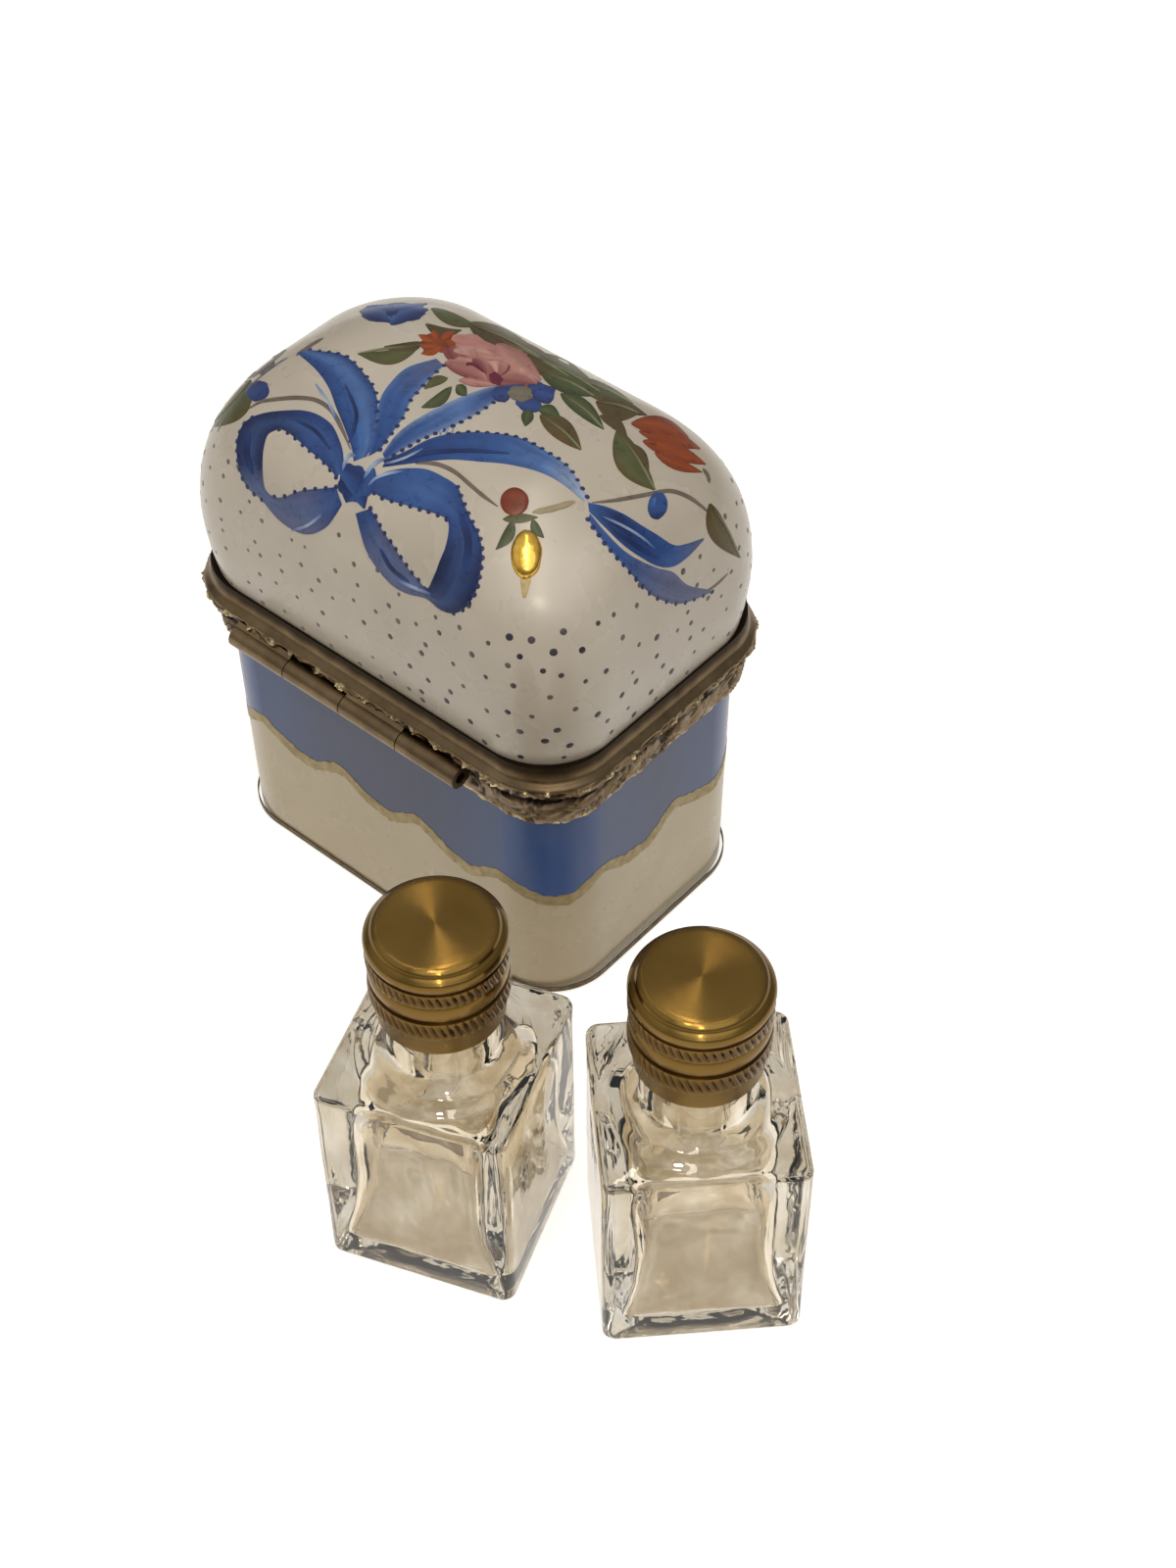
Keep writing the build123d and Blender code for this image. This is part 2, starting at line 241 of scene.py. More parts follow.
def finish_piece(name, skin, body, material, stands_for=(), sharp=35.0):
    """Turns a skin in millimetres to a piece in metres that rides on a body."""
    bmesh.ops.recalc_face_normals(skin, faces=skin.faces)
    for face in skin.faces:
        face.smooth = True
    for edge in skin.edges:
        if len(edge.link_faces) == 2 and edge.calc_face_angle(0.0) > math.radians(sharp):
            edge.smooth = False
    bmesh.ops.scale(skin, vec=(MM, MM, MM), verts=skin.verts)
    mesh = bpy.data.meshes.new(name)
    skin.to_mesh(mesh)
    skin.free()
    piece = bpy.data.objects.new(name, mesh)
    bpy.context.scene.collection.objects.link(piece)
    mesh.materials.append(material)
    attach(piece, body)
    if stands_for:
        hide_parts(*stands_for)


def clad(nodes, material):
    """Gives pieces that stay as the CAD has them their material."""
    for node in nodes:
        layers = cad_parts[node].data.materials
        layers.clear()
        layers.append(material)


# Materials
MULTIPLY = {"data_type": "RGBA", "blend_type": "MULTIPLY"}
BLEND = {"data_type": "RGBA", "blend_type": "MIX"}


def add(material, kind, links=None, stops=(), **settings):
    """Adds a node with its settings. In links, a node or a socket is joined and any other value is
    set; a Mix node has its share at 0 and its colours at 6 and 7. Stops are a ramp's (place, colour)."""
    node = material.node_tree.nodes.new("ShaderNode" + kind)
    for name, value in settings.items():
        setattr(node, name, value)
    for name, value in (links or {}).items():
        if isinstance(value, bpy.types.Node):
            value = next(socket for socket in value.outputs if socket.enabled)
        if isinstance(value, bpy.types.NodeSocket):
            material.node_tree.links.new(value, node.inputs[name])
        else:
            node.inputs[name].default_value = value
    while stops and len(node.color_ramp.elements) < len(stops):
        node.color_ramp.elements.new(0.5)
    for (place, tint), element in zip(stops, node.color_ramp.elements if stops else ()):
        element.position = place
        element.color = tint
    return node


def new_material(name):
    material = bpy.data.materials.new(name)
    material.use_nodes = True
    material.node_tree.nodes.clear()
    return material


def finished(material, shader):
    add(material, "OutputMaterial", {"Surface": shader})
    return material


def millimetres(material):
    """Object coordinates counted in millimetres."""
    place = add(material, "TexCoord").outputs["Object"]
    return add(material, "Mapping", {"Vector": place, "Scale": (1 / MM, 1 / MM, 1 / MM)})


def blotches(place, size, detail=3.0, rough=0.55):
    """What a noise needs for blotches about size millimetres across."""
    return {"Vector": place, "Scale": 1 / size, "Detail": detail, "Roughness": rough}


def relief(height, depth):
    """What a bump needs to be depth millimetres deep."""
    return {"Height": height, "Distance": depth * MM, "Strength": 1.0}


def grey(value):
    return (value, value, value, 1.0)


def glazed_porcelain(name, light, dark):
    """Hard-paste porcelain under clear glaze: faint warm clouds, soft waves in the gloss."""
    material = new_material(name)
    place = millimetres(material)
    clouds = add(material, "TexNoise", blotches(place, 14.0, 2.0))
    waves = add(material, "TexNoise", blotches(place, 5.0, 2.0, 0.4))
    gloss = add(material, "TexNoise", blotches(place, 6.0))
    tints = [(0.3, colour(light)), (0.72, colour(dark))]
    glaze = {
        "Base Color": add(material, "ValToRGB", {"Fac": clouds}, tints),
        "Roughness": add(material, "ValToRGB", {"Fac": gloss}, [(0.3, grey(0.25)), (0.7, grey(0.32))]),
        "IOR": 1.5,
        "Coat Weight": 0.25,
        "Coat Roughness": 0.2,
        "Subsurface Weight": 0.06,
        "Subsurface Radius": (0.002, 0.0017, 0.0013),
        "Normal": add(material, "Bump", relief(waves, 0.02)),
    }
    return finished(material, add(material, "BsdfPrincipled", glaze))


def enamel_paint():
    """Overglaze enamel laid by brush: colour from the stroke, faintly streaked, softly glossy."""
    material = new_material("overglaze_enamel_brushed")
    stroke = add(material, "Attribute", attribute_name="tint")
    streaks = add(material, "TexNoise", blotches(millimetres(material), 1.2, 2.0, 0.5))
    depth = add(material, "ValToRGB", {"Fac": streaks}, [(0.25, grey(0.84)), (0.75, grey(1.08))])
    enamel = {
        "Base Color": add(material, "Mix", {0: 1.0, 6: stroke, 7: depth}, **MULTIPLY),
        "Roughness": add(material, "ValToRGB", {"Fac": streaks}, [(0.3, grey(0.26)), (0.7, grey(0.36))]),
        "IOR": 1.45,
        "Specular IOR Level": 0.32,
        "Normal": add(material, "Bump", relief(streaks, 0.005)),
    }
    return finished(material, add(material, "BsdfPrincipled", enamel))


def cobalt_glaze():
    """Cobalt under clear glaze: even and glossy, with slow clouds where it pooled in the kiln."""
    material = new_material("cobalt_glaze")
    ground = add(material, "Attribute", attribute_name="tint")
    clouds = add(material, "TexNoise", blotches(millimetres(material), 7.0, 2.0))
    depth = add(material, "ValToRGB", {"Fac": clouds}, [(0.3, grey(0.93)), (0.7, grey(1.05))])
    glaze = {
        "Base Color": add(material, "Mix", {0: 1.0, 6: ground, 7: depth}, **MULTIPLY),
        "Roughness": add(material, "ValToRGB", {"Fac": clouds}, [(0.3, grey(0.2)), (0.7, grey(0.27))]),
        "IOR": 1.5,
        "Specular IOR Level": 0.3,
        "Normal": add(material, "Bump", relief(clouds, 0.02)),
    }
    return finished(material, add(material, "BsdfPrincipled", glaze))


def burnished_gilt(name, light, dark):
    """Fired liquid gold, rubbed by hand: half metal, half tan, worn thin in places."""
    material = new_material(name)
    wear = add(material, "TexNoise", blotches(millimetres(material), 0.9, 4.0, 0.6))
    gilding = {
        "Base Color": add(material, "ValToRGB", {"Fac": wear}, [(0.3, colour(dark)), (0.7, colour(light))]),
        "Metallic": 0.55,
        "Roughness": add(material, "ValToRGB", {"Fac": wear}, [(0.3, grey(0.55)), (0.7, grey(0.38))]),
        "Normal": add(material, "Bump", relief(wear, 0.03)),
    }
    return finished(material, add(material, "BsdfPrincipled", gilding))


def polished_gold():
    """A thick drop of bright gold, burnished smooth."""
    material = new_material("gold_raised_polished")
    ripples = add(material, "TexNoise", blotches(millimetres(material), 0.9, 2.0))
    tints = [(0.3, colour("#c79a3a")), (0.7, colour("#e0b95a"))]
    gold = {
        "Base Color": add(material, "ValToRGB", {"Fac": ripples}, tints),
        "Metallic": 1.0,
        "Roughness": 0.2,
        "Normal": add(material, "Bump", relief(ripples, 0.04)),
    }
    return finished(material, add(material, "BsdfPrincipled", gold))


def aged_brass():
    """Stamped brass gone brown with handling: soot in its hollows, painted shade in its seams, painted
    glints on rubbed ridges.
    """
    material = new_material("brass_aged_satin")
    place = millimetres(material)
    patina = add(material, "TexNoise", blotches(place, 3.5, 4.0, 0.6))
    tints = [(0.25, colour("#5f4f3b")), (0.55, colour("#75634a")), (0.8, colour("#88765a"))]
    metal = add(material, "ValToRGB", {"Fac": patina}, tints)
    # The per-vertex attribute: above zero, soot and painted shade darken toward #211810; below zero, rubbed
    # wear and painted glints lighten toward #c9b68c.
    grime_and_painted_light = add(material, "Attribute", attribute_name="grime_and_painted_light").outputs["Fac"]
    wear_and_glint_amount = add(material, "Math", {0: grime_and_painted_light, 1: -1.0}, operation="MULTIPLY")
    limits = [(0.0, grey(0.0)), (1.0, grey(1.0))]
    soot_and_painted_shade = add(material, "ValToRGB", {"Fac": grime_and_painted_light}, limits)
    rubbed = add(material, "ValToRGB", {"Fac": wear_and_glint_amount}, limits)
    bright = add(material, "Mix", {0: rubbed, 6: metal, 7: colour("#c9b68c")}, **BLEND)
    brushed = add(material, "Mapping", {"Vector": place, "Scale": (0.4, 0.4, 2.0)})
    rubbing = add(material, "TexNoise", blotches(brushed, 0.4, 3.0, 0.6))
    satin = add(material, "ValToRGB", {"Fac": rubbing}, [(0.3, grey(0.26)), (0.75, grey(0.4))])
    polish = add(material, "Mix", {0: rubbed, 6: satin, 7: grey(0.2)}, **BLEND)
    brass = {
        "Base Color": add(material, "Mix", {0: soot_and_painted_shade, 6: bright, 7: colour("#211810")}, **BLEND),
        "Metallic": 1.0,
        "Roughness": add(material, "Mix", {0: soot_and_painted_shade, 6: polish, 7: grey(0.65)}, **BLEND),
        "Normal": add(material, "Bump", relief(rubbing, 0.01)),
    }
    return finished(material, add(material, "BsdfPrincipled", brass))


def turned_brass():
    """Lacquered cap brass, turned on a lathe: rings of tool marks pull the highlight to a streak."""
    material = new_material("brass_turned_lacquered")
    tone = add(material, "TexNoise", blotches(millimetres(material), 9.0, 2.0))
    tint = add(material, "ValToRGB", {"Fac": tone}, [(0.3, colour("#6f5529")), (0.7, colour("#7e6433"))])
    rings = add(material, "Attribute", attribute_name="turning").outputs["Fac"]
    marks = add(material, "TexNoise", {"W": rings, "Scale": 7.0, "Detail": 3.0}, noise_dimensions="1D")
    # Grime and painted shade darken the knurled bands toward #2a170a, most in the rope's hollows.
    grime_and_painted_light = add(material, "Attribute", attribute_name="grime_and_painted_light").outputs["Fac"]
    brass = {
        "Base Color": add(material, "Mix", {0: grime_and_painted_light, 6: tint, 7: colour("#2a170a")}, **BLEND),
        "Metallic": 1.0,
        "Roughness": 0.22,
        "Anisotropic": 0.9,
        "Anisotropic Rotation": 0.25,
        "Tangent": add(material, "Tangent", direction_type="UV_MAP", uv_map="turning_map"),
        "Normal": add(material, "Bump", relief(marks, 0.012)),
    }
    return finished(material, add(material, "BsdfPrincipled", brass))


def bottle_glass():
    """Thick pressed soda glass: clear, faintly warm, with slow waves left by the mould."""
    material = new_material("soda_glass_pressed")
    place = millimetres(material)
    waves = add(material, "TexNoise", blotches(place, 4.5, 2.0, 0.4))
    drawn = add(material, "Mapping", {"Vector": place, "Scale": (1, 1, 0.45)})
    streaks = add(material, "TexNoise", blotches(drawn, 3.2, 3.0, 0.5))
    tints = [(0.32, colour("#cfc1a7")), (0.5, colour("#ddd3bf")), (0.68, colour("#f3eee4"))]
    swell = add(material, "Bump", relief(waves, 0.09))
    glass = {
        "Base Color": add(material, "ValToRGB", {"Fac": streaks}, tints),
        "Roughness": 0.015,
        "IOR": 1.5,
        "Transmission Weight": 1.0,
        "Normal": add(material, "Bump", {**relief(streaks, 0.05), "Normal": swell}),
    }
    return finished(material, add(material, "BsdfPrincipled", glass))


def moulded_plastic():
    """Injection-moulded polyethylene liner: milky, waxy, faintly uneven."""
    material = new_material("polyethylene_moulded")
    flow = add(material, "TexNoise", blotches(millimetres(material), 2.0))
    tints = [(0.3, colour("#d8d4c8")), (0.7, colour("#c9c4b6"))]
    plastic = {
        "Base Color": add(material, "ValToRGB", {"Fac": flow}, tints),
        "Roughness": 0.42,
        "Subsurface Weight": 0.15,
        "Subsurface Radius": (0.001, 0.001, 0.001),
        "Normal": add(material, "Bump", relief(flow, 0.03)),
    }
    return finished(material, add(material, "BsdfPrincipled", plastic))


def seal_foam():
    """Closed-cell foam disc: matt, with fine cells."""
    material = new_material("polyethylene_foam")
    cells = add(material, "TexVoronoi", {"Vector": millimetres(material), "Scale": 4.0})
    tints = [(0.1, colour("#aaa698")), (0.6, colour("#cfcabb"))]
    foam = {
        "Base Color": add(material, "ValToRGB", {"Fac": cells}, tints),
        "Roughness": 0.85,
        "Normal": add(material, "Bump", relief(cells, 0.08)),
    }
    return finished(material, add(material, "BsdfPrincipled", foam))


LID_WHITE = glazed_porcelain("porcelain_glazed_white", "#c4bdb1", "#b7afa2")
BASE_CREAM = glazed_porcelain("porcelain_glazed_cream", "#c0b293", "#b3a484")
COBALT = cobalt_glaze()
ENAMEL = enamel_paint()
GILT = burnished_gilt("gilt_burnished", "#a1916a", "#85744d")
DULL_GILT = burnished_gilt("gilt_worn_dull", "#6d5c3c", "#4d3f27")
GOLD = polished_gold()
BRASS = aged_brass()
CAP_BRASS = turned_brass()
GLASS = bottle_glass()
PLASTIC = moulded_plastic()
FOAM = seal_foam()


# Porcelain lid: flared rim, full belly, long rolled dome, hollow to an even wall
PORCELAIN_STEPS = (30, 16, 26)
DOME_RINGS = 54
FLARE_RINGS = 10


def lid_outline(half_length, half_width, radius, height, wall):
    half_width = max(half_width - wall, 0.05)
    radius = min(radius - wall, DOME_CORNER_LIMIT * half_width)
    return rounded_outline(half_length - wall, half_width, radius, height, PORCELAIN_STEPS)


def lid_flare_ring(height, wall):
    step = (LID_BELLY_HEIGHT - height) / (LID_BELLY_HEIGHT - LID_RIM_HEIGHT)
    pinch = LID_FLARE * step**2
    radius = LID_CORNER - pinch / 2
    return lid_outline(LID_HALF_LENGTH - pinch, LID_HALF_WIDTH - pinch, radius, height, wall)


def lid_rings(wall):
    rings = []
    for step in range(FLARE_RINGS):
        share = step / FLARE_RINGS
        rings.append(lid_flare_ring(LID_RIM_HEIGHT + share * (LID_BELLY_HEIGHT - LID_RIM_HEIGHT), wall))
    dome_height = LID_TOP_HEIGHT - wall - LID_BELLY_HEIGHT
    for step in range(DOME_RINGS):
        turn = math.pi / 2 * step / (DOME_RINGS - 0.5)
        rise = math.sin(turn) ** (2 / LID_SIDE_POWER)
        side = math.cos(turn) ** (2 / LID_SIDE_POWER)
        end_pull = LID_END_ROLL * (1 - (1 - rise**LID_END_POWER) ** (1 / LID_END_POWER))
        half_width = wall + (LID_HALF_WIDTH - wall) * side
        radius = LID_CORNER + LID_CORNER_GROWTH * rise
        height = LID_BELLY_HEIGHT + rise * dome_height
        rings.append(lid_outline(LID_HALF_LENGTH - end_pull, half_width, radius, height, wall))
    return rings


outside = lid_rings(0.0)
inside = lid_rings(LID_WALL)
lid_skin = ring_chain(outside[::-1] + inside, close_first=True, close_last=True)
bmesh.ops.recalc_face_normals(lid_skin, faces=lid_skin.faces)
lid_tree = BVHTree.FromBMesh(lid_skin)
finish_piece("lid_porcelain_glazed", lid_skin, "lid", LID_WHITE, ["lid_porcelain"])


# Porcelain base: foot ring, tapered sides, rim and cavity in one chain of rings
BASE_SIDE_RINGS = 14
FOOT_PROFILE = (
    (5.0, FOOT_RECESS),
    (FOOT_RING + 0.3, FOOT_RECESS),
    (FOOT_RING, 0.4),
    (FOOT_RING, 0.15),
)


def base_outline(height, lift=0.0, steps=PORCELAIN_STEPS):
    share = height / BASE_TOP
    half_length = BASE_FOOT_LENGTH + (BASE_HALF_LENGTH - BASE_FOOT_LENGTH) * share + lift
    half_width = BASE_FOOT_WIDTH + (BASE_HALF_WIDTH - BASE_FOOT_WIDTH) * share + lift
    return rounded_outline(half_length, half_width, BASE_CORNER + lift, height, steps)


def foot_ring(inset, height, radius):
    half_length = BASE_FOOT_LENGTH - inset
    return rounded_outline(half_length, BASE_FOOT_WIDTH - inset, radius, height, PORCELAIN_STEPS)


def cavity_ring(inset, height):
    half_length = BASE_HALF_LENGTH - BASE_WALL - inset
    half_width = BASE_HALF_WIDTH - BASE_WALL - inset
    return rounded_outline(half_length, half_width, CAVITY_CORNER - inset, height, PORCELAIN_STEPS)


def base_rings():
    rings = [foot_ring(inset, height, BASE_CORNER - inset * 0.9) for inset, height in FOOT_PROFILE]
    tread = FOOT_RING - 0.15
    rings.append(foot_ring(tread, 0, BASE_CORNER - tread))
    for sine, cosine in quarter_turn(6):
        inset = FOOT_ROUND * (1 - sine)
        rings.append(foot_ring(inset, FOOT_ROUND * (1 - cosine), BASE_CORNER - inset))
    for step in range(1, BASE_SIDE_RINGS + 1):
        rings.append(base_outline(FOOT_ROUND + (BASE_TOP - FOOT_ROUND) * step / BASE_SIDE_RINGS))
    for height in (BASE_TOP, BASE_TOP - 0.3, 20.0, BASE_FLOOR_HEIGHT + CAVITY_ROUND):
        rings.append(cavity_ring(0, height))
    for sine, cosine in quarter_turn(6)[1:]:
        height = BASE_FLOOR_HEIGHT + CAVITY_ROUND * (1 - sine)
        rings.append(cavity_ring(CAVITY_ROUND * (1 - cosine), height))
    return rings


base_skin = ring_chain(base_rings(), close_first=True, close_last=True)
finish_piece("base_porcelain_glazed", base_skin, "base", BASE_CREAM, ["base_porcelain"])


# Blue glaze band and gilt lines on the base
WAVE_COUNT = 13
WAVE_MEAN_HEIGHT = 16.3
WAVE_SWING = 1.05
WAVE_FIRST_CREST = -5.5
BAND_STEPS = (110, 66, 34)
BAND_TOP = BASE_MOUNT_BOTTOM + 0.6
BAND_LIFT = 0.03
GILT_LIFT = 0.07
GILT_HALF_WIDTH = 0.78
BLUE_PALE = colour("#3f4969")
BLUE_MID = colour("#38466a")
BLUE_NEAR = colour("#3f5a92")
# Deepest blue: glaze pooling and painted shade under the mount's overhang.
BLUE_POOLED_AND_SHADED = colour("#1f478c")

band_outline = base_outline(WAVE_MEAN_HEIGHT, 0.0, BAND_STEPS)
band_travel = outline_travel(band_outline)
band_length = band_travel[-1] + (band_outline[0] - band_outline[-1]).length
half_front = BASE_HALF_LENGTH - BASE_CORNER


def wave_height(travel):
    """The gilt line's height: long waves, unevenly drawn; travel runs from the hinge side's corner."""
    phase = 2 * math.pi * (travel + half_front - WAVE_FIRST_CREST) * WAVE_COUNT / band_length
    drawn = WAVE_SWING * (math.cos(phase) + 0.16 * math.cos(2 * phase + 0.6))
    return WAVE_MEAN_HEIGHT + drawn + 0.35 * wander(travel * 0.11, 4.0) + 0.12 * wander(travel * 0.6, 9.0)


def skin_strip(low_of, high_of, lift, rows, tint_of=None):
    """A thin closed strip round the base between two heights that vary along it."""
    rings = []
    for row in range(rows + 1):
        share = row / rows
        heights = [low_of(t) + (high_of(t) - low_of(t)) * share for t in band_travel]
        rings.append([strip_point(index, height, lift) for index, height in enumerate(heights)])
    for row in range(rows, -1, -rows):
        rings.append([strip_point(index, point.z, -0.05) for index, point in enumerate(rings[row])])
    strip = closed_chain(rings)
    if tint_of is not None:
        tint = strip.verts.layers.float_color.new("tint")
        for vert in strip.verts:
            vert[tint] = tint_of(vert.co)
    return strip


def strip_point(index, height, lift):
    """A point over the base's side above band point index."""
    share = (height - WAVE_MEAN_HEIGHT) / BASE_TOP
    flat = band_outline[index]
    x = flat.x + math.copysign((BASE_HALF_LENGTH - BASE_FOOT_LENGTH) * share, flat.x)
    y = flat.y + math.copysign((BASE_HALF_WIDTH - BASE_FOOT_WIDTH) * share, flat.y)
    return Vector((x, y, height)) + outward_at(band_outline, index) * lift


def blue_tint(point):
    """Bluer towards the corners; deepest at the corners just under the mount, where glaze pooling and
    painted shade from the mount's overhang are laid together.
    """
    corner_x = abs(point.x) - (BASE_HALF_LENGTH - BASE_CORNER)
    corner_y = abs(point.y) - (BASE_HALF_WIDTH - BASE_CORNER)
    pooling_and_shade = 0.0
    if corner_x > 0 and corner_y > 0:
        angle = math.atan2(corner_y, corner_x)
        pooling_and_shade = ease(0.42, 0.12, abs(angle - math.pi / 4)) * ease(30.0, 20.0, point.z)
    cloud = 0.5 + 0.5 * wander(point.x * 0.12, point.y * 0.12, point.z * 0.2)
    plain = mixed(BLUE_MID, BLUE_PALE, cloud)
    corner = math.hypot(corner_x, corner_y) if min(corner_x, corner_y) < 0 else 0.0
    return mixed(mixed(plain, BLUE_NEAR, ease(14.0, 2.0, corner)), BLUE_POOLED_AND_SHADED, pooling_and_shade)


blue_band = skin_strip(wave_height, lambda travel: BAND_TOP, BAND_LIFT, 10, blue_tint)
finish_piece("blue_glaze_band", blue_band, "base", COBALT)


def gilt_width(travel):
    return GILT_HALF_WIDTH * (1 + 0.4 * wander(travel * 0.45, 2.0) + 0.3 * wander(travel * 1.5, 7.0))


gilt_wave = skin_strip(
    lambda travel: wave_height(travel) - gilt_width(travel + 60),
    lambda travel: wave_height(travel) + gilt_width(travel),
    GILT_LIFT,
    2,
)
finish_piece("gilt_wave_line", gilt_wave, "base", GILT)
foot_line = skin_strip(
    lambda travel: FOOT_ROUND + 0.02,
    lambda travel: FOOT_ROUND + 0.75 + 0.12 * wander(travel * 0.4, 5.0),
    GILT_LIFT,
    2,
)
finish_piece("gilt_foot_line", foot_line, "base", DULL_GILT)


# Brass mounts: a smooth cove above, chased leaves below, on a band wrapped over the rim
MOUNT_STEPS = (250, 134, 90)
LEAF_PITCH = 3.9
TIP_PITCH = 3.4

mount_outline = rounded_outline(MOUNT_HALF_LENGTH, MOUNT_HALF_WIDTH, MOUNT_CORNER, 0.0, MOUNT_STEPS)
mount_travel = outline_travel(mount_outline)


def mount_point(index, inset, height):
    flat = mount_outline[index]
    return Vector((flat.x, flat.y, height)) - outward_at(mount_outline, index) * inset


def sampled(profile, count):
    """A smooth curve through a profile's few points, as (inset, height) pairs."""
    padded = padded_line(profile)
    spans = len(profile) - 1
    curve = []
    for step in range(count + 1):
        place = step / count * spans
        span = min(int(place), spans - 1)
        point = curve_point(padded, span, place - span)
        curve.append((point.x, point.y))
    return curve


def mount_band(profile, back, relief, edge, rows, lip=None):
    """A closed band: the outer profile with its relief, a lip where one is given, the plain back."""
    curve = sampled(profile, rows)
    rings = []
    grime_and_painted_light = []
    for row, (inset, height) in enumerate(curve):
        before = curve[max(row - 1, 0)]
        after = curve[min(row + 1, rows)]
        slope = Vector((after[0] - before[0], after[1] - before[1], 0)).normalized()
        out, up = slope.y, slope.x
        if out < 0:
            out, up = -out, -up
        ring = []
        dirt_and_painted_light = []
        for index, travel in enumerate(mount_travel):
            raised, soot_and_painted_light = relief(travel, row / rows)
            drop = edge(travel) * ease(0.72, 1.0, row / rows)
            ring.append(mount_point(index, inset - out * raised, height + up * raised - drop))
            dirt_and_painted_light.append(soot_and_painted_light)
        rings.append(ring)
        grime_and_painted_light.append(dirt_and_painted_light)
    # Painted shade: the lip pressed against the porcelain is darkened to 0.9 and the plain back to 1.0.
    if lip is not None:
        rings.append(lip)
        grime_and_painted_light.append([0.9] * len(lip))
    for place, (inset, height) in enumerate(back):
        drops = [edge(travel) if place == 0 else 0.0 for travel in mount_travel]
        rings.append([mount_point(index, inset, height - drop) for index, drop in enumerate(drops)])
        grime_and_painted_light.append([1.0] * len(drops))
    return closed_chain(rings, grime_and_painted_light)


def worn_foliage(travel, up):
    """Stamped leaves worn to soft curls, with sharper creases between them; lengths in millimetres."""
    curl = wander(travel * 0.34, up * 0.45, 1.0)
    crease = 1 - 2.4 * abs(wander(travel * 0.5 + 2.2 * curl, up * 0.75 + curl, 5.0))
    grain = wander(travel * 1.5, up * 1.6, 9.0)
    return 0.3 * curl + 0.3 * max(crease, 0.0) ** 1.5 + 0.06 * grain - 0.04


def soot_wear_and_painted_glint(height, share):
    """Dark soot in the hollows; the ridges rubbed bright and painted as glints: 1 is soot and -1 is bare
    metal with painted highlight.
    """
    return share * (0.9 * ease(0.1, -0.08, height) - 0.95 * ease(0.25, 0.4, height))


def lid_relief(travel, across):
    """A row of leaf tips stands along the lower edge; the cove above them stays smooth."""
    brim = 0.36 + 0.04 * wander(travel * 0.3, 14.0)
    share = ease(brim + 0.04, brim - 0.05, across) * ease(0.0, 0.05, across)
    height = worn_foliage(travel, across * 3.9)
    tip_turn = math.pi * travel / TIP_PITCH + 1.4 * wander(travel * 0.22, 31.0)
    # Painted highlight: the leaf tips are painted bright below (-1.5 per tip), as glints, besides being
    # raised.
    tip = abs(math.cos(tip_turn)) ** 7 * ease(0.17, 0.05, abs(across - brim + 0.08))
    tip *= ease(-0.2, 0.25, wander(travel * 1.9, across * 9.0, 3.0))
    dents = 0.04 * wander(travel * 0.25, across * 2.0, 6.0)
    # Painted shade darkens the parting line at the lower edge and the top edge against the porcelain.
    parting_line_shade = ease(0.18, 0.06, across)
    foot = 0.85 * ease(0.7, 0.95, across + 0.05 * wander(travel * 0.5, 12.0))
    soot_and_painted_light = max(soot_wear_and_painted_glint(height, share), parting_line_shade, foot) - 1.5 * tip
    return share * (height - 0.12) + 0.3 * tip + dents, min(max(soot_and_painted_light, -1.0), 1.0)


def base_relief(travel, across):
    share = ease(0.0, 0.06, across) * ease(1.0, 0.96, across)
    height = worn_foliage(travel + 40.0, (1 - across) * 4.8)
    # Painted highlight: the ragged lower edge is painted bright as a rim of glints, partly rubbed wear;
    # painted shade darkens the parting line at the top.
    lip = ease(0.84, 0.95, across) * (0.45 + 1.1 * wander(travel * 0.6, 17.0))
    parting_line_shade = ease(0.36, 0.2, across)
    soot_and_painted_light = max(soot_wear_and_painted_glint(height, share), parting_line_shade) - 0.9 * lip
    return share * (height - 0.16), min(max(soot_and_painted_light, -1.0), 1.0)


def straight_edge(travel):
    return 0.0


def ragged_edge(travel):
    """How far the base mount's cut lower edge dips: one lobe to each leaf, none quite alike."""
    lobe = abs(math.sin(math.pi * (travel + LEAF_PITCH / 2) / LEAF_PITCH)) - 0.6
    return 0.22 * lobe + 0.22 * wander(travel * 1.0, 21.0) + 0.12 * wander(travel * 3.0, 22.0)


LID_MOUNT_OUTER = [
    (0.6, LID_MOUNT_BOTTOM),
    (0.2, LID_MOUNT_BOTTOM + 0.5),
    (0.08, LID_MOUNT_BOTTOM + 1.0),
    (0.14, LID_MOUNT_BOTTOM + 1.45),
    (0.48, LID_MOUNT_BOTTOM + 1.85),
    (0.84, LID_MOUNT_BOTTOM + 2.3),
    (1.0, LID_MOUNT_BOTTOM + 3.0),
    (1.06, LID_MOUNT_TOP),
]
LID_MOUNT_BACK = [
    (3.2, LID_MOUNT_BOTTOM + 1.0),
    (4.5, LID_MOUNT_BOTTOM + 0.6),
    (4.5, LID_MOUNT_BOTTOM),
]
BASE_MOUNT_OUTER = [
    (0.75, BASE_MOUNT_TOP),
    (0.75, BASE_MOUNT_TOP - 0.5),
    (0.95, BASE_MOUNT_TOP - 1.8),
    (1.15, BASE_MOUNT_TOP - 2.9),
    (1.45, BASE_MOUNT_TOP - 3.8),
    (1.75, BASE_MOUNT_BOTTOM),
]
BASE_MOUNT_BACK = [
    (1.98, BASE_MOUNT_BOTTOM),
    (1.98, BASE_MOUNT_TOP - 0.6),
    (4.5, BASE_MOUNT_TOP - 0.6),
    (4.5, BASE_MOUNT_TOP),
]

LIP_DROP = 0.12
LIP_REACH = 0.06


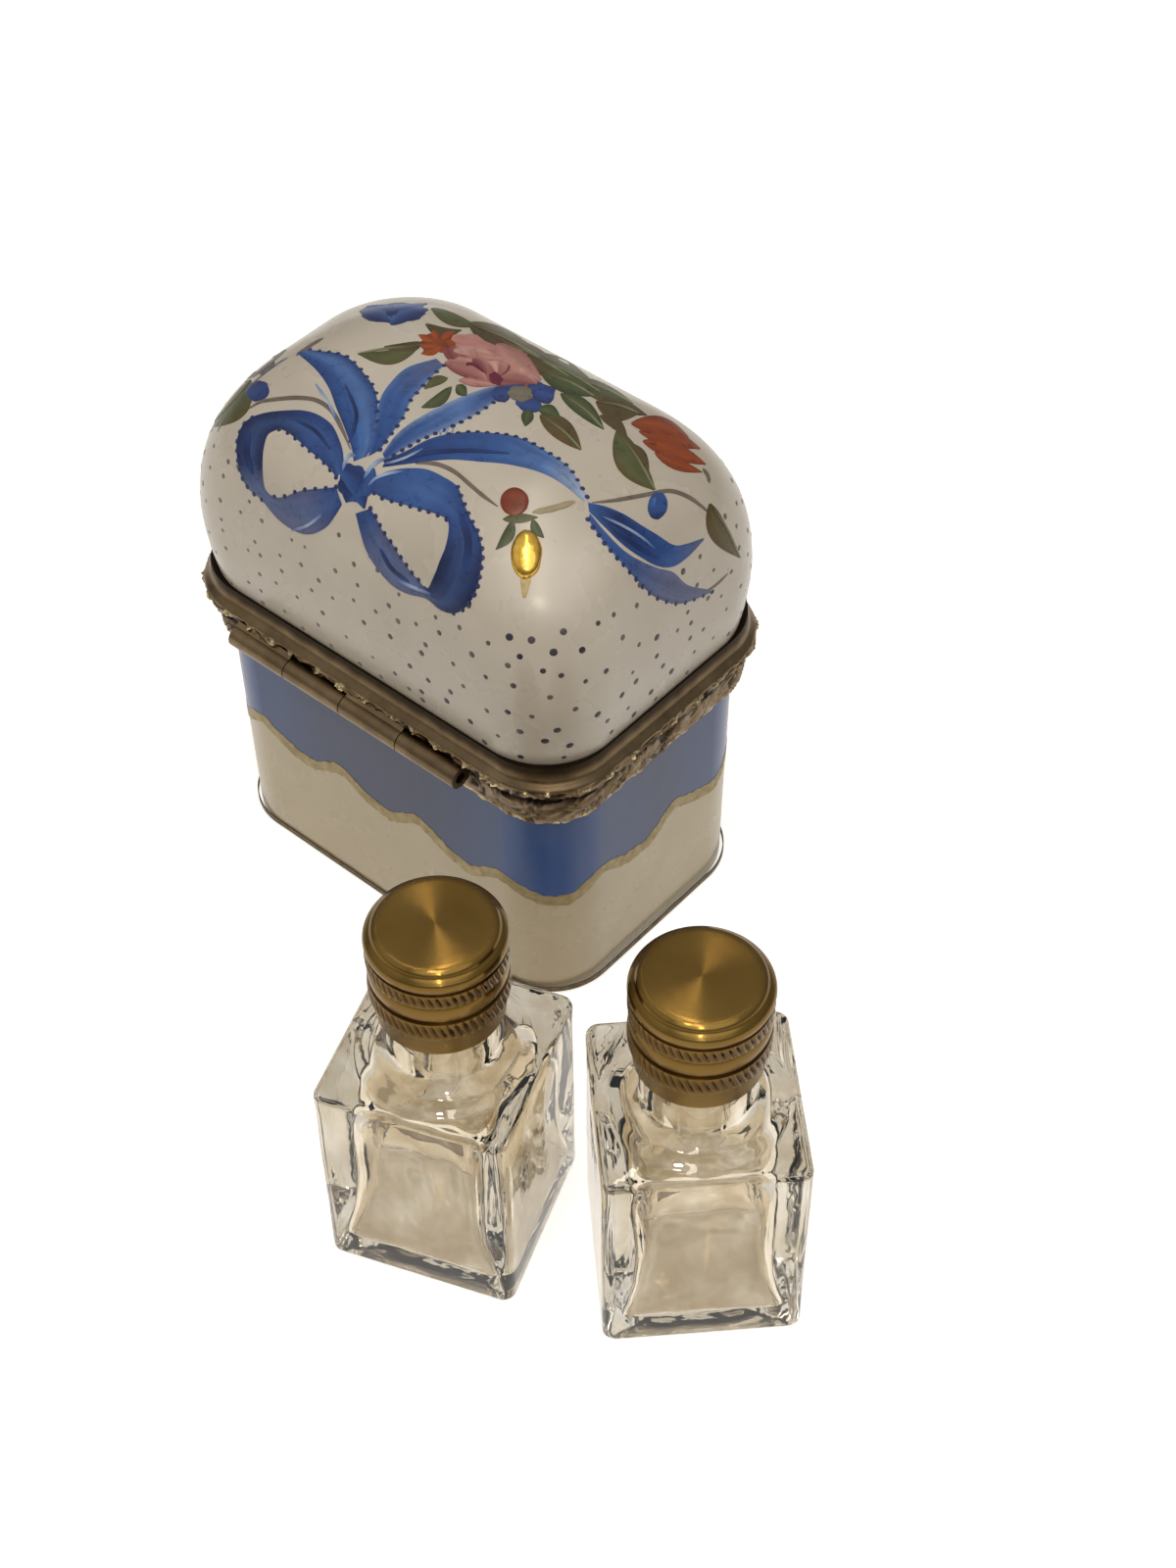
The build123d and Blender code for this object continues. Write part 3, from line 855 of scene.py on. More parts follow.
def pressed_lip():
    """The lid mount's upper edge, burnished down against the porcelain all round."""
    lip = []
    for index in range(len(mount_outline)):
        start = mount_point(index, 0.8, LID_MOUNT_TOP - LIP_DROP)
        inward = (mount_point(index, 1.8, LID_MOUNT_TOP - LIP_DROP) - start).normalized()
        point, _, _, _ = lid_tree.ray_cast(start, inward)
        lip.append(point + inward * LIP_REACH)
    return lip


lid_mount_skin = mount_band(LID_MOUNT_OUTER, LID_MOUNT_BACK, lid_relief, straight_edge, 32, pressed_lip())
finish_piece("lid_mount_chased", lid_mount_skin, "lid", BRASS, ["lid_mount"], sharp=60)
base_mount_skin = mount_band(BASE_MOUNT_OUTER, BASE_MOUNT_BACK, base_relief, ragged_edge, 34)
finish_piece("base_mount_chased", base_mount_skin, "base", BRASS, ["base_mount"], sharp=60)

clad(["base_knuckle_near", "base_knuckle_far", "lid_knuckle_near", "lid_knuckle_far"], BRASS)
clad(["hinge_pin", "clasp_stud", "clasp_tongue", "clasp_thumb_piece"], BRASS)


# Caps: turned profile, two rope-knurled bands, concentric tool marks on top
CAP_STEPS = 384
ROPE_COUNT = 54
ROPE_SLANT = 0.4
CAP_TAIL = 2.7
LOW_KNURL = 2.2
RING_HEIGHT = 2.3
HIGH_KNURL = 1.8
CAP_INSIDE_RADIUS = 5.45
TAIL_INSET = 0.55
HEAD_INSET = 0.75


def knurled_rows(low, height):
    """Rows of a knurled band, as (radius, height, knurl share)."""
    rows = []
    for step in range(11):
        share = step / 10
        level = low + 0.05 + (height - 0.1) * share
        rows.append((CAP_RADIUS - 0.12, level, math.sin(math.pi * share) ** 0.5))
    return rows


def bead_rows(low, height, shrink):
    """Rows of a smooth rounded ring between two grooves."""
    rows = []
    for step in range(9):
        share = step / 8
        bulge = math.sin(math.pi * share) ** 0.6
        rows.append((CAP_RADIUS - 0.5 + (0.5 - shrink) * bulge, low + height * share, 0))
    return rows


def cap_profile():
    """(radius, height, knurl share) from the tail's inner edge over the top's centre."""
    tail_top = CAP_BOTTOM + CAP_TAIL
    ring_low = tail_top + LOW_KNURL
    ring_high = ring_low + RING_HEIGHT
    head_low = ring_high + HIGH_KNURL
    tail_radius = CAP_RADIUS - TAIL_INSET
    profile = [
        (CAP_INSIDE_RADIUS, CAP_TOP - 0.7, 0),
        (CAP_INSIDE_RADIUS, CAP_BOTTOM + 0.1, 0),
        (CAP_INSIDE_RADIUS + 0.1, CAP_BOTTOM, 0),
        (tail_radius - 0.12, CAP_BOTTOM, 0),
        (tail_radius, CAP_BOTTOM + 0.12, 0),
        (tail_radius + 0.08, tail_top - 0.2, 0),
        (CAP_RADIUS - 0.4, tail_top, 0),
    ]
    profile += knurled_rows(tail_top, LOW_KNURL)
    profile += bead_rows(ring_low, RING_HEIGHT, 0.12)
    profile += knurled_rows(ring_high, HIGH_KNURL)
    profile += bead_rows(head_low, CAP_TOP - HEAD_INSET - head_low, 0.0)[:-1]
    edge_radius = CAP_RADIUS - HEAD_INSET
    profile.append((edge_radius + 0.12, CAP_TOP - 0.72, 0))
    for sine, cosine in quarter_turn(8):
        profile.append((edge_radius - 1.1 * (1 - cosine), CAP_TOP - 0.6 * (1 - sine), 0))
    profile += [(radius, CAP_TOP, 0) for radius in (4.2, 3.4, 2.6, 1.8, 1.0, 0.4, 0.1)]
    return profile


def cap_ring(radius, height, knurl):
    """One ring of the cap and its darkening; on a knurled band, grime and painted shade darken it, most in
    the rope's hollows.
    """
    ring = []
    dirt_and_painted_light = []
    for step in range(CAP_STEPS):
        angle = 2 * math.pi * step / CAP_STEPS
        rope = abs(math.sin(ROPE_COUNT * angle / 2 + ROPE_SLANT * ROPE_COUNT / 2 * height / CAP_RADIUS))
        uneven = 0.75 + 0.5 * wander(angle * 9.0, height * 1.5)
        grown = radius - knurl * 0.34 * uneven * (1 - rope) ** 1.3 + knurl * 0.1
        ring.append(Vector((grown * math.cos(angle), grown * math.sin(angle), height)))
        dirt_and_painted_light.append(knurl * (0.4 + 0.55 * (1 - rope)))
    return ring, dirt_and_painted_light


def stand(skin, side):
    """Turns a bottle's or a cap's skin about its axis and sets it in its place."""
    place, turn = BOTTLES[side]
    matrix = Matrix.Translation(place) @ Matrix.Rotation(turn, 4, "Z")
    bmesh.ops.transform(skin, matrix=matrix, verts=skin.verts)


def cap_piece(side):
    made = [cap_ring(*row) for row in cap_profile()]
    cap = ring_chain([ring for ring, _ in made], close_last=True, grime_and_painted_light=[dirt_and_painted_light for _, dirt_and_painted_light in made])
    bmesh.ops.recalc_face_normals(cap, faces=cap.faces)
    turning = cap.verts.layers.float.new("turning")
    for vert in cap.verts:
        flat = math.hypot(vert.co.x, vert.co.y)
        vert[turning] = flat if vert.co.z > CAP_TOP - 0.1 else 20 + vert.co.z
    chart = cap.loops.layers.uv.new("turning_map")
    for face in cap.faces:
        middle = face.calc_center_median()
        around = math.atan2(middle.y, middle.x)
        for loop in face.loops:
            angle = math.atan2(loop.vert.co.y, loop.vert.co.x)
            angle = around + math.remainder(angle - around, 2 * math.pi)
            flat = math.hypot(loop.vert.co.x, loop.vert.co.y)
            loop[chart].uv = (angle / (2 * math.pi), (flat - loop.vert.co.z) * 0.02)
    stand(cap, side)
    shell = [side + "_cap_shell"]
    finish_piece(side + "_cap_turned", cap, side + "_cap", CAP_BRASS, shell, 40)


# Bottles: square outside with pressed edges, round collar, screw neck, wavy square cavity
GLASS_STEPS = 18


def square_ring(half, edge, height, wave=0.0, seed=0.0, bow=0.0):
    """A square with rounded corners; wave sways its walls and bow draws their middles inwards."""
    points = rounded_outline(half, half, edge, height, (GLASS_STEPS, GLASS_STEPS, 10))
    moved = []
    for point in points:
        sway = wave * wander(point.x * 0.13 + seed, point.y * 0.13, point.z * 0.11)
        sway += 0.45 * wave * wander(point.x * 0.42 + seed, point.y * 0.42, point.z * 0.15)
        inward = bow * (1 - (min(abs(point.x), abs(point.y)) / half) ** 2)
        flat = Vector((point.x, point.y, 0)).normalized()
        moved.append(point + flat * (sway - inward))
    return moved


def round_ring(radius, height, template):
    """A circle whose points lie at the same bearings as a square ring's."""
    ring = []
    for point in template:
        angle = math.atan2(point.y, point.x)
        ring.append(Vector((radius * math.cos(angle), radius * math.sin(angle), height)))
    return ring


GLASS_EDGE_ROUND = 0.8
BORE_RADIUS = 2.95
FOOT_RINGS = ((4.0, 1.0, 0.35), (BOTTLE_HALF - 1.6, 0.9, 0.3), (BOTTLE_HALF - 1.1, 0.9, 0.0))
COLLAR = (
    (9.0, 0.02),
    (8.5, 0.16),
    (8.0, 0.42),
    (7.4, 0.5),
    (6.9, 0.56),
    (6.4, 0.84),
    (6.0, 1.2),
    (5.6, 1.5),
    (5.35, 2.1),
    (5.2, 2.9),
)
CAVITY = (
    (5.4, 3.6, 22.3, 0.0),
    (6.4, 3.2, 21.5, 0.1),
    (6.9, 2.9, 20.3, 0.2),
    (7.05, 2.6, 18.8, 0.3),
    (6.95, 2.4, 16.0, 0.4),
    (6.85, 2.2, 13.0, 0.5),
    (6.95, 2.0, 10.5, 0.5),
    (7.15, 1.7, 7.8, 0.5),
    (7.6, 1.4, 5.4, 0.5),
    (8.0, 1.2, 3.9, 0.5),
    (8.1, 1.2, 3.2, 0.45),
    (7.7, 1.3, 2.7, 0.35),
    (6.4, 1.6, 2.7, 0.2),
    (4.8, 1.6, 3.0, 0.1),
    (3.0, 1.2, 3.3, 0.0),
    (1.2, 0.6, 3.5, 0.0),
)


def glass_rings(seed):
    """Foot, walls, shoulder, neck, bore and cavity of a bottle, in one chain."""
    square = square_ring(BOTTLE_HALF, BOTTLE_EDGE, 0)
    rings = [square_ring(*row) for row in FOOT_RINGS]
    for sine, cosine in quarter_turn(6):
        inset = GLASS_EDGE_ROUND * (1 - sine)
        height = GLASS_EDGE_ROUND * (1 - cosine)
        rings.append(square_ring(BOTTLE_HALF - inset, BOTTLE_EDGE - inset * 0.7, height))
    for height in (4, 8, 12, 16, 20, 23):
        rings.append(square_ring(BOTTLE_HALF - 0.02, BOTTLE_EDGE, height, 0.1, seed))
    for sine, cosine in quarter_turn(6):
        inset = GLASS_EDGE_ROUND * (1 - cosine)
        height = BOTTLE_HEIGHT - GLASS_EDGE_ROUND * (1 - sine)
        rings.append(square_ring(BOTTLE_HALF - inset, BOTTLE_EDGE - inset * 0.7, height))
    neck = [(radius, BOTTLE_HEIGHT + rise) for radius, rise in COLLAR]
    neck += [(5.2, LIP_HEIGHT - 0.35), (5.1, LIP_HEIGHT - 0.1), (4.85, LIP_HEIGHT)]
    neck += [(BORE_RADIUS + 0.25, LIP_HEIGHT), (BORE_RADIUS, LIP_HEIGHT - 0.2), (BORE_RADIUS, 25.5)]
    neck += [(3.2, 24.3), (4.2, 23.2)]
    rings += [round_ring(radius, height, square) for radius, height in neck]
    for half, edge, height, bow in CAVITY:
        rings.append(square_ring(half, edge, height, 0.4, seed + 5, bow))
    return rings


def bottle_piece(side, seed):
    glass = ring_chain(glass_rings(seed), close_first=True, close_last=True)
    stand(glass, side)
    solid = [side + "_bottle_glass"]
    finish_piece(side + "_bottle_pressed", glass, side + "_bottle", GLASS, solid, 50)


for side, seed in (("left", 3.0), ("right", 11.0)):
    cap_piece(side)
    bottle_piece(side, seed)
    clad([side + "_cap_insert"], PLASTIC)
    clad([side + "_cap_seal"], FOAM)


# Painting on the lid: each place in the photograph's frame is followed down its sight line
def camera_axes():
    ahead = Vector(
        (
            math.sin(CAMERA_YAW) * math.cos(CAMERA_PITCH),
            math.cos(CAMERA_YAW) * math.cos(CAMERA_PITCH),
            -math.sin(CAMERA_PITCH),
        )
    )
    level = Vector((math.cos(CAMERA_YAW), -math.sin(CAMERA_YAW), 0))
    upright = level.cross(ahead)
    right = math.cos(CAMERA_ROLL) * level + math.sin(CAMERA_ROLL) * upright
    up = math.cos(CAMERA_ROLL) * upright - math.sin(CAMERA_ROLL) * level
    return right, up, ahead


SIGHT_RIGHT, SIGHT_UP, SIGHT_AHEAD = camera_axes()


def on_lid(across, down):
    """The lid's surface point and outward normal that the photograph shows at a pixel."""
    side = (across - PHOTO_WIDTH / 2) / FOCAL_PIXELS
    drop = (down - PHOTO_HEIGHT / 2) / FOCAL_PIXELS
    sight = (SIGHT_AHEAD + side * SIGHT_RIGHT - drop * SIGHT_UP).normalized()
    point, normal, _, _ = lid_tree.ray_cast(CAMERA_PLACE, sight)
    if point is None:
        middle = Vector((0, 0, LID_BELLY_HEIGHT))
        along = (middle - CAMERA_PLACE).dot(sight)
        point, normal, _, _ = lid_tree.find_nearest(CAMERA_PLACE + sight * along)
    return point, normal


SPRAY_MIDDLE = (480, 465)
FLANK_MIDDLE = 49.0
FLANK_ACROSS = 0.076
FLANK_DOWN = 0.05


def on_flank(across, down):
    """The same spray laid on the lid's front, which the photograph doesn't show."""
    along = (across - SPRAY_MIDDLE[0]) * FLANK_ACROSS
    height = FLANK_MIDDLE - (down - SPRAY_MIDDLE[1]) * FLANK_DOWN
    start = Vector((along, -2 * LID_HALF_WIDTH, height))
    point, normal, _, _ = lid_tree.ray_cast(start, Vector((0, 1, 0)))
    return point, normal


def smooth_line(points, count):
    """Evenly spread points on a smooth curve through a few given ones."""
    padded = padded_line(points)
    spans = len(points) - 1
    fine = [curve_point(padded, span, step / 12) for span in range(spans) for step in range(12)]
    fine.append(padded[spans + 1])
    travel = outline_travel(fine)
    line = []
    start = 0
    for step in range(count + 1):
        goal = travel[-1] * step / count
        while start < len(fine) - 2 and travel[start + 1] < goal:
            start += 1
        gap = travel[start + 1] - travel[start]
        share = (goal - travel[start]) / gap if gap > 1e-9 else 0.0
        line.append(fine[start].lerp(fine[start + 1], min(max(share, 0), 1)))
    return line


def line_length(points):
    return sum((Vector(b) - Vector(a)).length for a, b in zip(points, points[1:]))


def spread(middle, reach, columns):
    """Places across a stroke, from one edge to the other; reach goes from the middle to an edge."""
    return [middle + reach * (2 * column / columns - 1) for column in range(columns + 1)]


def rim(rows):
    """The outer places of a grid of rows, in order round it."""
    return rows[0] + [row[-1] for row in rows[1:]] + rows[-1][-2::-1] + [row[0] for row in rows[-2:0:-1]]


PAINT_SINK = 0.08
STROKE_STEP = 3.0
PICOT_SPACING = 9.4
PICOT_RADIUS = 0.33
PICOT_JITTER = 0.6


class Painting:
    """One colour family of brushwork, kept as one thin raised piece on the lid."""

    def __init__(self, name, onto):
        self.name = name
        self.onto = onto
        self.skin = bmesh.new()
        self.tint = self.skin.verts.layers.float_color.new("tint")
        self.seed = 0.0

    def sheet(self, rows, shades, lift, crown=0.0):
        """A grid of places laid on the lid; rows run along the stroke."""
        self.seed += 7.3
        across = len(rows[0]) - 1
        top, under = [], []
        for row, places in enumerate(rows):
            top_row, under_row = [], []
            for column, place in enumerate(places):
                share = column / across
                point, normal = self.onto(place.x, place.y)
                swell = crown * max(0.0, 1 - (2 * share - 1) ** 2)
                swell *= min(1.0, 4 * row / len(rows), 4 * (len(rows) - 1 - row) / len(rows))
                streak = 1 + 0.24 * wander(row * 0.05 + self.seed, share * 5.0, self.seed)
                streak += 0.2 * wander(row * 0.08 + self.seed, share * 13.0, self.seed)
                shade = shades(row / (len(rows) - 1), share)
                shade = (*(min(channel * streak, 1.0) for channel in shade[:3]), 1.0)
                for rise, line in ((lift + swell, top_row), (-PAINT_SINK, under_row)):
                    vert = self.skin.verts.new(point + normal * rise)
                    vert[self.tint] = shade
                    line.append(vert)
            top.append(top_row)
            under.append(under_row)
        self.close(top, under)

    def close(self, top, under):
        """Faces of the top, the underside and the four edges of a laid sheet."""
        faces = self.skin.faces
        for first, second in zip(top, top[1:]):
            for corners in zip(first, first[1:], second[1:], second):
                faces.new(corners)
        for first, second in zip(under, under[1:]):
            for corners in zip(first, first[1:], second[1:], second):
                faces.new(corners[::-1])
        rim_top, rim_low = rim(top), rim(under)
        for index, corner in enumerate(rim_top):
            after = (index + 1) % len(rim_top)
            faces.new((rim_top[after], corner, rim_low[index], rim_low[after]))

    def between(self, left, right, shades, lift):
        """A stroke between two edges."""
        count = max(6, int(line_length(left) / STROKE_STEP))
        edges = zip(smooth_line(left, count), smooth_line(right, count))
        rows = [[a.lerp(b, column / 10) for column in range(11)] for a, b in edges]
        self.sheet(rows, shades, lift)

    def stroke(self, points, width, shades, lift=0.03, taper=(0.25, 0.25)):
        """A brush stroke along a line, width pixels wide, thinning at its ends."""
        count = max(5, int(line_length(points) / STROKE_STEP))
        line = smooth_line(points, count)
        rows = []
        for index, place in enumerate(line):
            along = (line[min(index + 1, count)] - line[max(index - 1, 0)]).normalized()
            side = Vector((along.y, -along.x, 0))
            share = index / count
            half = width / 2 * (1 + 0.15 * wander(share * 6 + self.seed, 3.0))
            if taper[0]:
                half *= min(1.0, 0.15 + share / taper[0]) ** 0.7
            if taper[1]:
                half *= min(1.0, 0.15 + (1 - share) / taper[1]) ** 0.7
            rows.append(spread(place, side * half, 4))
        self.sheet(rows, shades, lift)

    def leaf(self, start, end, width, shades, bend=0.0, lift=0.035, crown=0.02):
        """A pointed leaf or petal from its stalk to its tip, bent sideways by a share of its length."""
        first, last = Vector((*start, 0)), Vector((*end, 0))
        along = last - first
        side = Vector((along.y, -along.x, 0)).normalized()
        count = max(6, int(along.length / 2.5))
        rows = []
        for index in range(count + 1):
            share = index / count
            middle = first + along * share + side * bend * along.length * math.sin(math.pi * share)
            half = width / 2 * max(math.sin(math.pi * min(0.985, max(0.015, share**0.85))), 0.05) ** 0.8
            rows.append(spread(middle, side * half, 6))
        self.sheet(rows, shades, lift, crown)

    def blob(self, centre, radii, shades, lift=0.04, crown=0.05, turn=0.0, wobble=0.08):
        """A rounded touch of the brush."""
        angle = math.radians(turn)
        rows = []
        for index in range(13):
            place = -1 + 2 * index / 12
            place = math.sin(math.pi / 2 * place)
            reach = math.sqrt(max(1 - place * place, 0.0025))
            row = []
            for column in range(9):
                spread = reach * math.sin(math.pi / 2 * (2 * column / 8 - 1))
                rough = 1 + wobble * wander(place * 2 + self.seed, spread * 2, self.seed)
                x, y = place * radii[0] * rough, spread * radii[1] * rough
                over = centre[0] + x * math.cos(angle) - y * math.sin(angle)
                down = centre[1] + x * math.sin(angle) + y * math.cos(angle)
                row.append(Vector((over, down, 0)))
            rows.append(row)
        self.sheet(rows, shades, lift, crown)

    def dot_at(self, point, normal, radius, shade, lift=0.05):
        """One small raised dot of colour."""
        turned = normal.to_track_quat("Z", "Y").to_matrix().to_4x4()
        made = bmesh.ops.create_cone(
            self.skin,
            cap_ends=True,
            segments=10,
            radius1=radius,
            radius2=radius * 0.7,
            depth=lift + PAINT_SINK,
            matrix=Matrix.Translation(point + normal * (lift - PAINT_SINK) / 2) @ turned,
        )
        for vert in made["verts"]:
            vert[self.tint] = shade

    def picots(self, points):
        """A row of tiny loops along a ribbon's edge."""
        count = max(2, int(line_length(points) / PICOT_SPACING))
        for index, place in enumerate(smooth_line(points, count)):
            across = place.x + PICOT_JITTER * wander(index * 1.7, 3.0)
            down = place.y + PICOT_JITTER * wander(index * 1.7, 8.0)
            point, normal = self.onto(across, down)
            size = PICOT_RADIUS * (1 + 0.2 * wander(index * 2.3, 1.0))
            self.dot_at(point, normal, size, PICOT_BLUE)

    def finish(self, material=ENAMEL):
        finish_piece(self.name, self.skin, "lid", material, sharp=60)


def tint_at(tints, share):
    """The colour a share of the way through a row of tints."""
    place = share * (len(tints) - 1)
    start = min(int(place), len(tints) - 2)
    return mixed(tints[start], tints[start + 1], place - start)


def shade_across(*tints):
    """Colour that runs through the tints from one edge of a stroke to the other."""
    return lambda along, across: tint_at(tints, across)


def shade_along(*tints):
    """Colour that runs through the tints from a stroke's start to its end."""
    return lambda along, across: tint_at(tints, along)


def shade_both(tints, edge_tint, edge_share=0.45):
    """Colour along the stroke, with both edges drawn towards another tint."""

    def shade(along, across):
        edge = abs(2 * across - 1) ** 3 * edge_share
        return mixed(tint_at(tints, along), edge_tint, edge)

    return shade


# Enamel colours
RIBBON_DEEP = colour("#1b2752")
RIBBON_DARK = colour("#26407c")
RIBBON_MID = colour("#345694")
RIBBON_LIGHT = colour("#4f70aa")
RIBBON_VIOLET = colour("#565f85")
RIBBON_PALE = colour("#9fb0cc")
PICOT_BLUE = colour("#27325e")
STEM_GREY = colour("#6c635a")
STEM_TAN = colour("#998c70")
LEAF_GREEN = colour("#515a3a")
LEAF_DARK = colour("#3a4229")
LEAF_OLIVE = colour("#564d2e")
LEAF_BROWN = colour("#55432b")
LEAF_PALE = colour("#8b9070")
ROSE_PALE = colour("#c9a39c")
ROSE_LIGHT = colour("#b6877f")
ROSE_MID = colour("#a06c69")
ROSE_DEEP = colour("#7a4145")
ROSE_HEART = colour("#66243a")
ORANGE = colour("#97481f")
ORANGE_DEEP = colour("#6a3119")
RED_BROWN = colour("#7a3a24")
FLOWER_BLUE = colour("#344a86")
FLOWER_NAVY = colour("#232c58")
FLOWER_EYE = colour("#66664f")
BERRY_RED = colour("#7b3424")
DOT_DARK = colour("#2e2c3b")
DOT_FAINT = colour("#7a7269")

# Ribbon: two loops, a knot, four tails and a stray end
LOOP_LEFT_OUTER = [
    (351, 481), (350, 462), (346, 448), (339, 434), (326, 424), (310, 419), (292, 419), (273, 421),
    (257, 426), (247, 435), (242, 450), (242, 466), (246, 485), (254, 499), (267, 510), (282, 528),
    (296, 539), (310, 545), (322, 544), (334, 537), (343, 525), (349, 515),
]
LOOP_LEFT_INNER = [
    (343, 487), (338, 480), (328, 470), (316, 460), (305, 450), (293, 441), (285, 438), (279, 440),
    (274, 443), (271, 449), (269, 458), (268, 468), (268, 480), (269, 492), (272, 501), (280, 507),
    (290, 507), (300, 503), (311, 500), (323, 499), (333, 498), (343, 497),
]
LOOP_RIGHT_OUTER = [
    (384, 487), (396, 481), (414, 478), (435, 479), (453, 487), (467, 497), (473, 513), (480, 529),
    (488, 544), (492, 562), (490, 585), (485, 605), (475, 620), (463, 626), (449, 622), (435, 611),
    (416, 606), (400, 597), (384, 579), (373, 560), (367, 540), (363, 524),
]
LOOP_RIGHT_INNER = [
    (382, 503), (392, 509), (405, 513), (420, 517), (434, 521), (446, 525), (456, 530), (458, 537),
    (457, 548), (454, 560), (449, 572), (445, 583), (441, 592), (437, 600), (432, 598), (427, 592),
    (418, 582), (409, 569), (401, 556), (392, 544), (385, 531), (378, 519),
]
TAIL_UP_LEFT = [(361, 471), (359, 458), (352, 438), (343, 416), (335, 395), (322, 377), (303, 360)]
TAIL_UP_LEFT_EDGE = [(374, 466), (381, 452), (385, 430), (384, 403), (373, 383), (351, 363), (316, 357)]
TAIL_UP = [(376, 466), (380, 445), (384, 425), (389, 405), (400, 389), (416, 375), (445, 366)]
TAIL_UP_EDGE = [(388, 459), (400, 442), (411, 427), (419, 409), (430, 396), (441, 384), (453, 373)]
TAIL_THIRD = [(390, 463), (404, 444), (420, 431), (443, 418), (466, 407), (490, 398), (509, 393)]
TAIL_THIRD_EDGE = [(394, 470), (415, 457), (433, 447), (451, 440), (470, 431), (492, 419), (511, 405)]
TAIL_LONG = [
    (394, 469), (415, 460), (436, 449), (458, 443), (488, 441), (528, 446), (558, 461), (582, 479),
    (599, 507),
]
TAIL_LONG_EDGE = [
    (390, 477), (413, 474), (436, 471), (461, 469), (488, 471), (519, 474), (551, 482), (574, 494),
    (596, 512),
]
STRAY_TOP = [
    (600, 513), (618, 517), (637, 525), (656, 537), (671, 546), (687, 556), (700, 555), (718, 549),
]
STRAY_TOP_EDGE = [
    (601, 522), (618, 539), (637, 557), (656, 570), (672, 578), (687, 578), (702, 568), (718, 551),
]
STRAY_LOW = [
    (602, 524), (618, 543), (637, 562), (655, 573), (672, 580), (687, 584), (702, 597), (725, 602),
]
STRAY_LOW_EDGE = [
    (600, 530), (612, 548), (625, 564), (637, 577), (650, 592), (668, 609), (694, 616), (727, 604),
]


def loop_shades(turns):
    """Colour round a bow loop from a list of (along, tint), lighter along its middle."""
    def shade(along, across):
        for (low, first), (high, second) in zip(turns, turns[1:]):
            if along <= high:
                tint = mixed(first, second, ease(low, high, along))
                break
        else:
            tint = turns[-1][1]
        sheen = math.sin(math.pi * across) ** 2 * 0.28
        return mixed(tint, RIBBON_LIGHT, sheen)
    return shade


LEFT_TURNS = [
    (0, RIBBON_DARK),
    (0.16, RIBBON_DARK),
    (0.34, RIBBON_DEEP),
    (0.52, RIBBON_DEEP),
    (0.66, RIBBON_VIOLET),
    (0.84, RIBBON_VIOLET),
    (1, RIBBON_DARK),
]
RIGHT_TURNS = [
    (0, RIBBON_DARK),
    (0.16, RIBBON_MID),
    (0.32, RIBBON_DARK),
    (0.5, RIBBON_DEEP),
    (0.6, RIBBON_DEEP),
    (0.7, RIBBON_VIOLET),
    (0.86, RIBBON_VIOLET),
    (1, RIBBON_DARK),
]
PICOT_EDGES = (
    LOOP_LEFT_OUTER[8:15],
    LOOP_LEFT_INNER[:7],
    LOOP_LEFT_INNER[15:],
    LOOP_RIGHT_INNER[:7],
    LOOP_RIGHT_INNER[15:],
    LOOP_RIGHT_OUTER[5:14],
    TAIL_UP_LEFT_EDGE[2:],
    TAIL_UP_EDGE,
    TAIL_THIRD_EDGE,
    TAIL_LONG[3:],
    STRAY_LOW_EDGE,
)


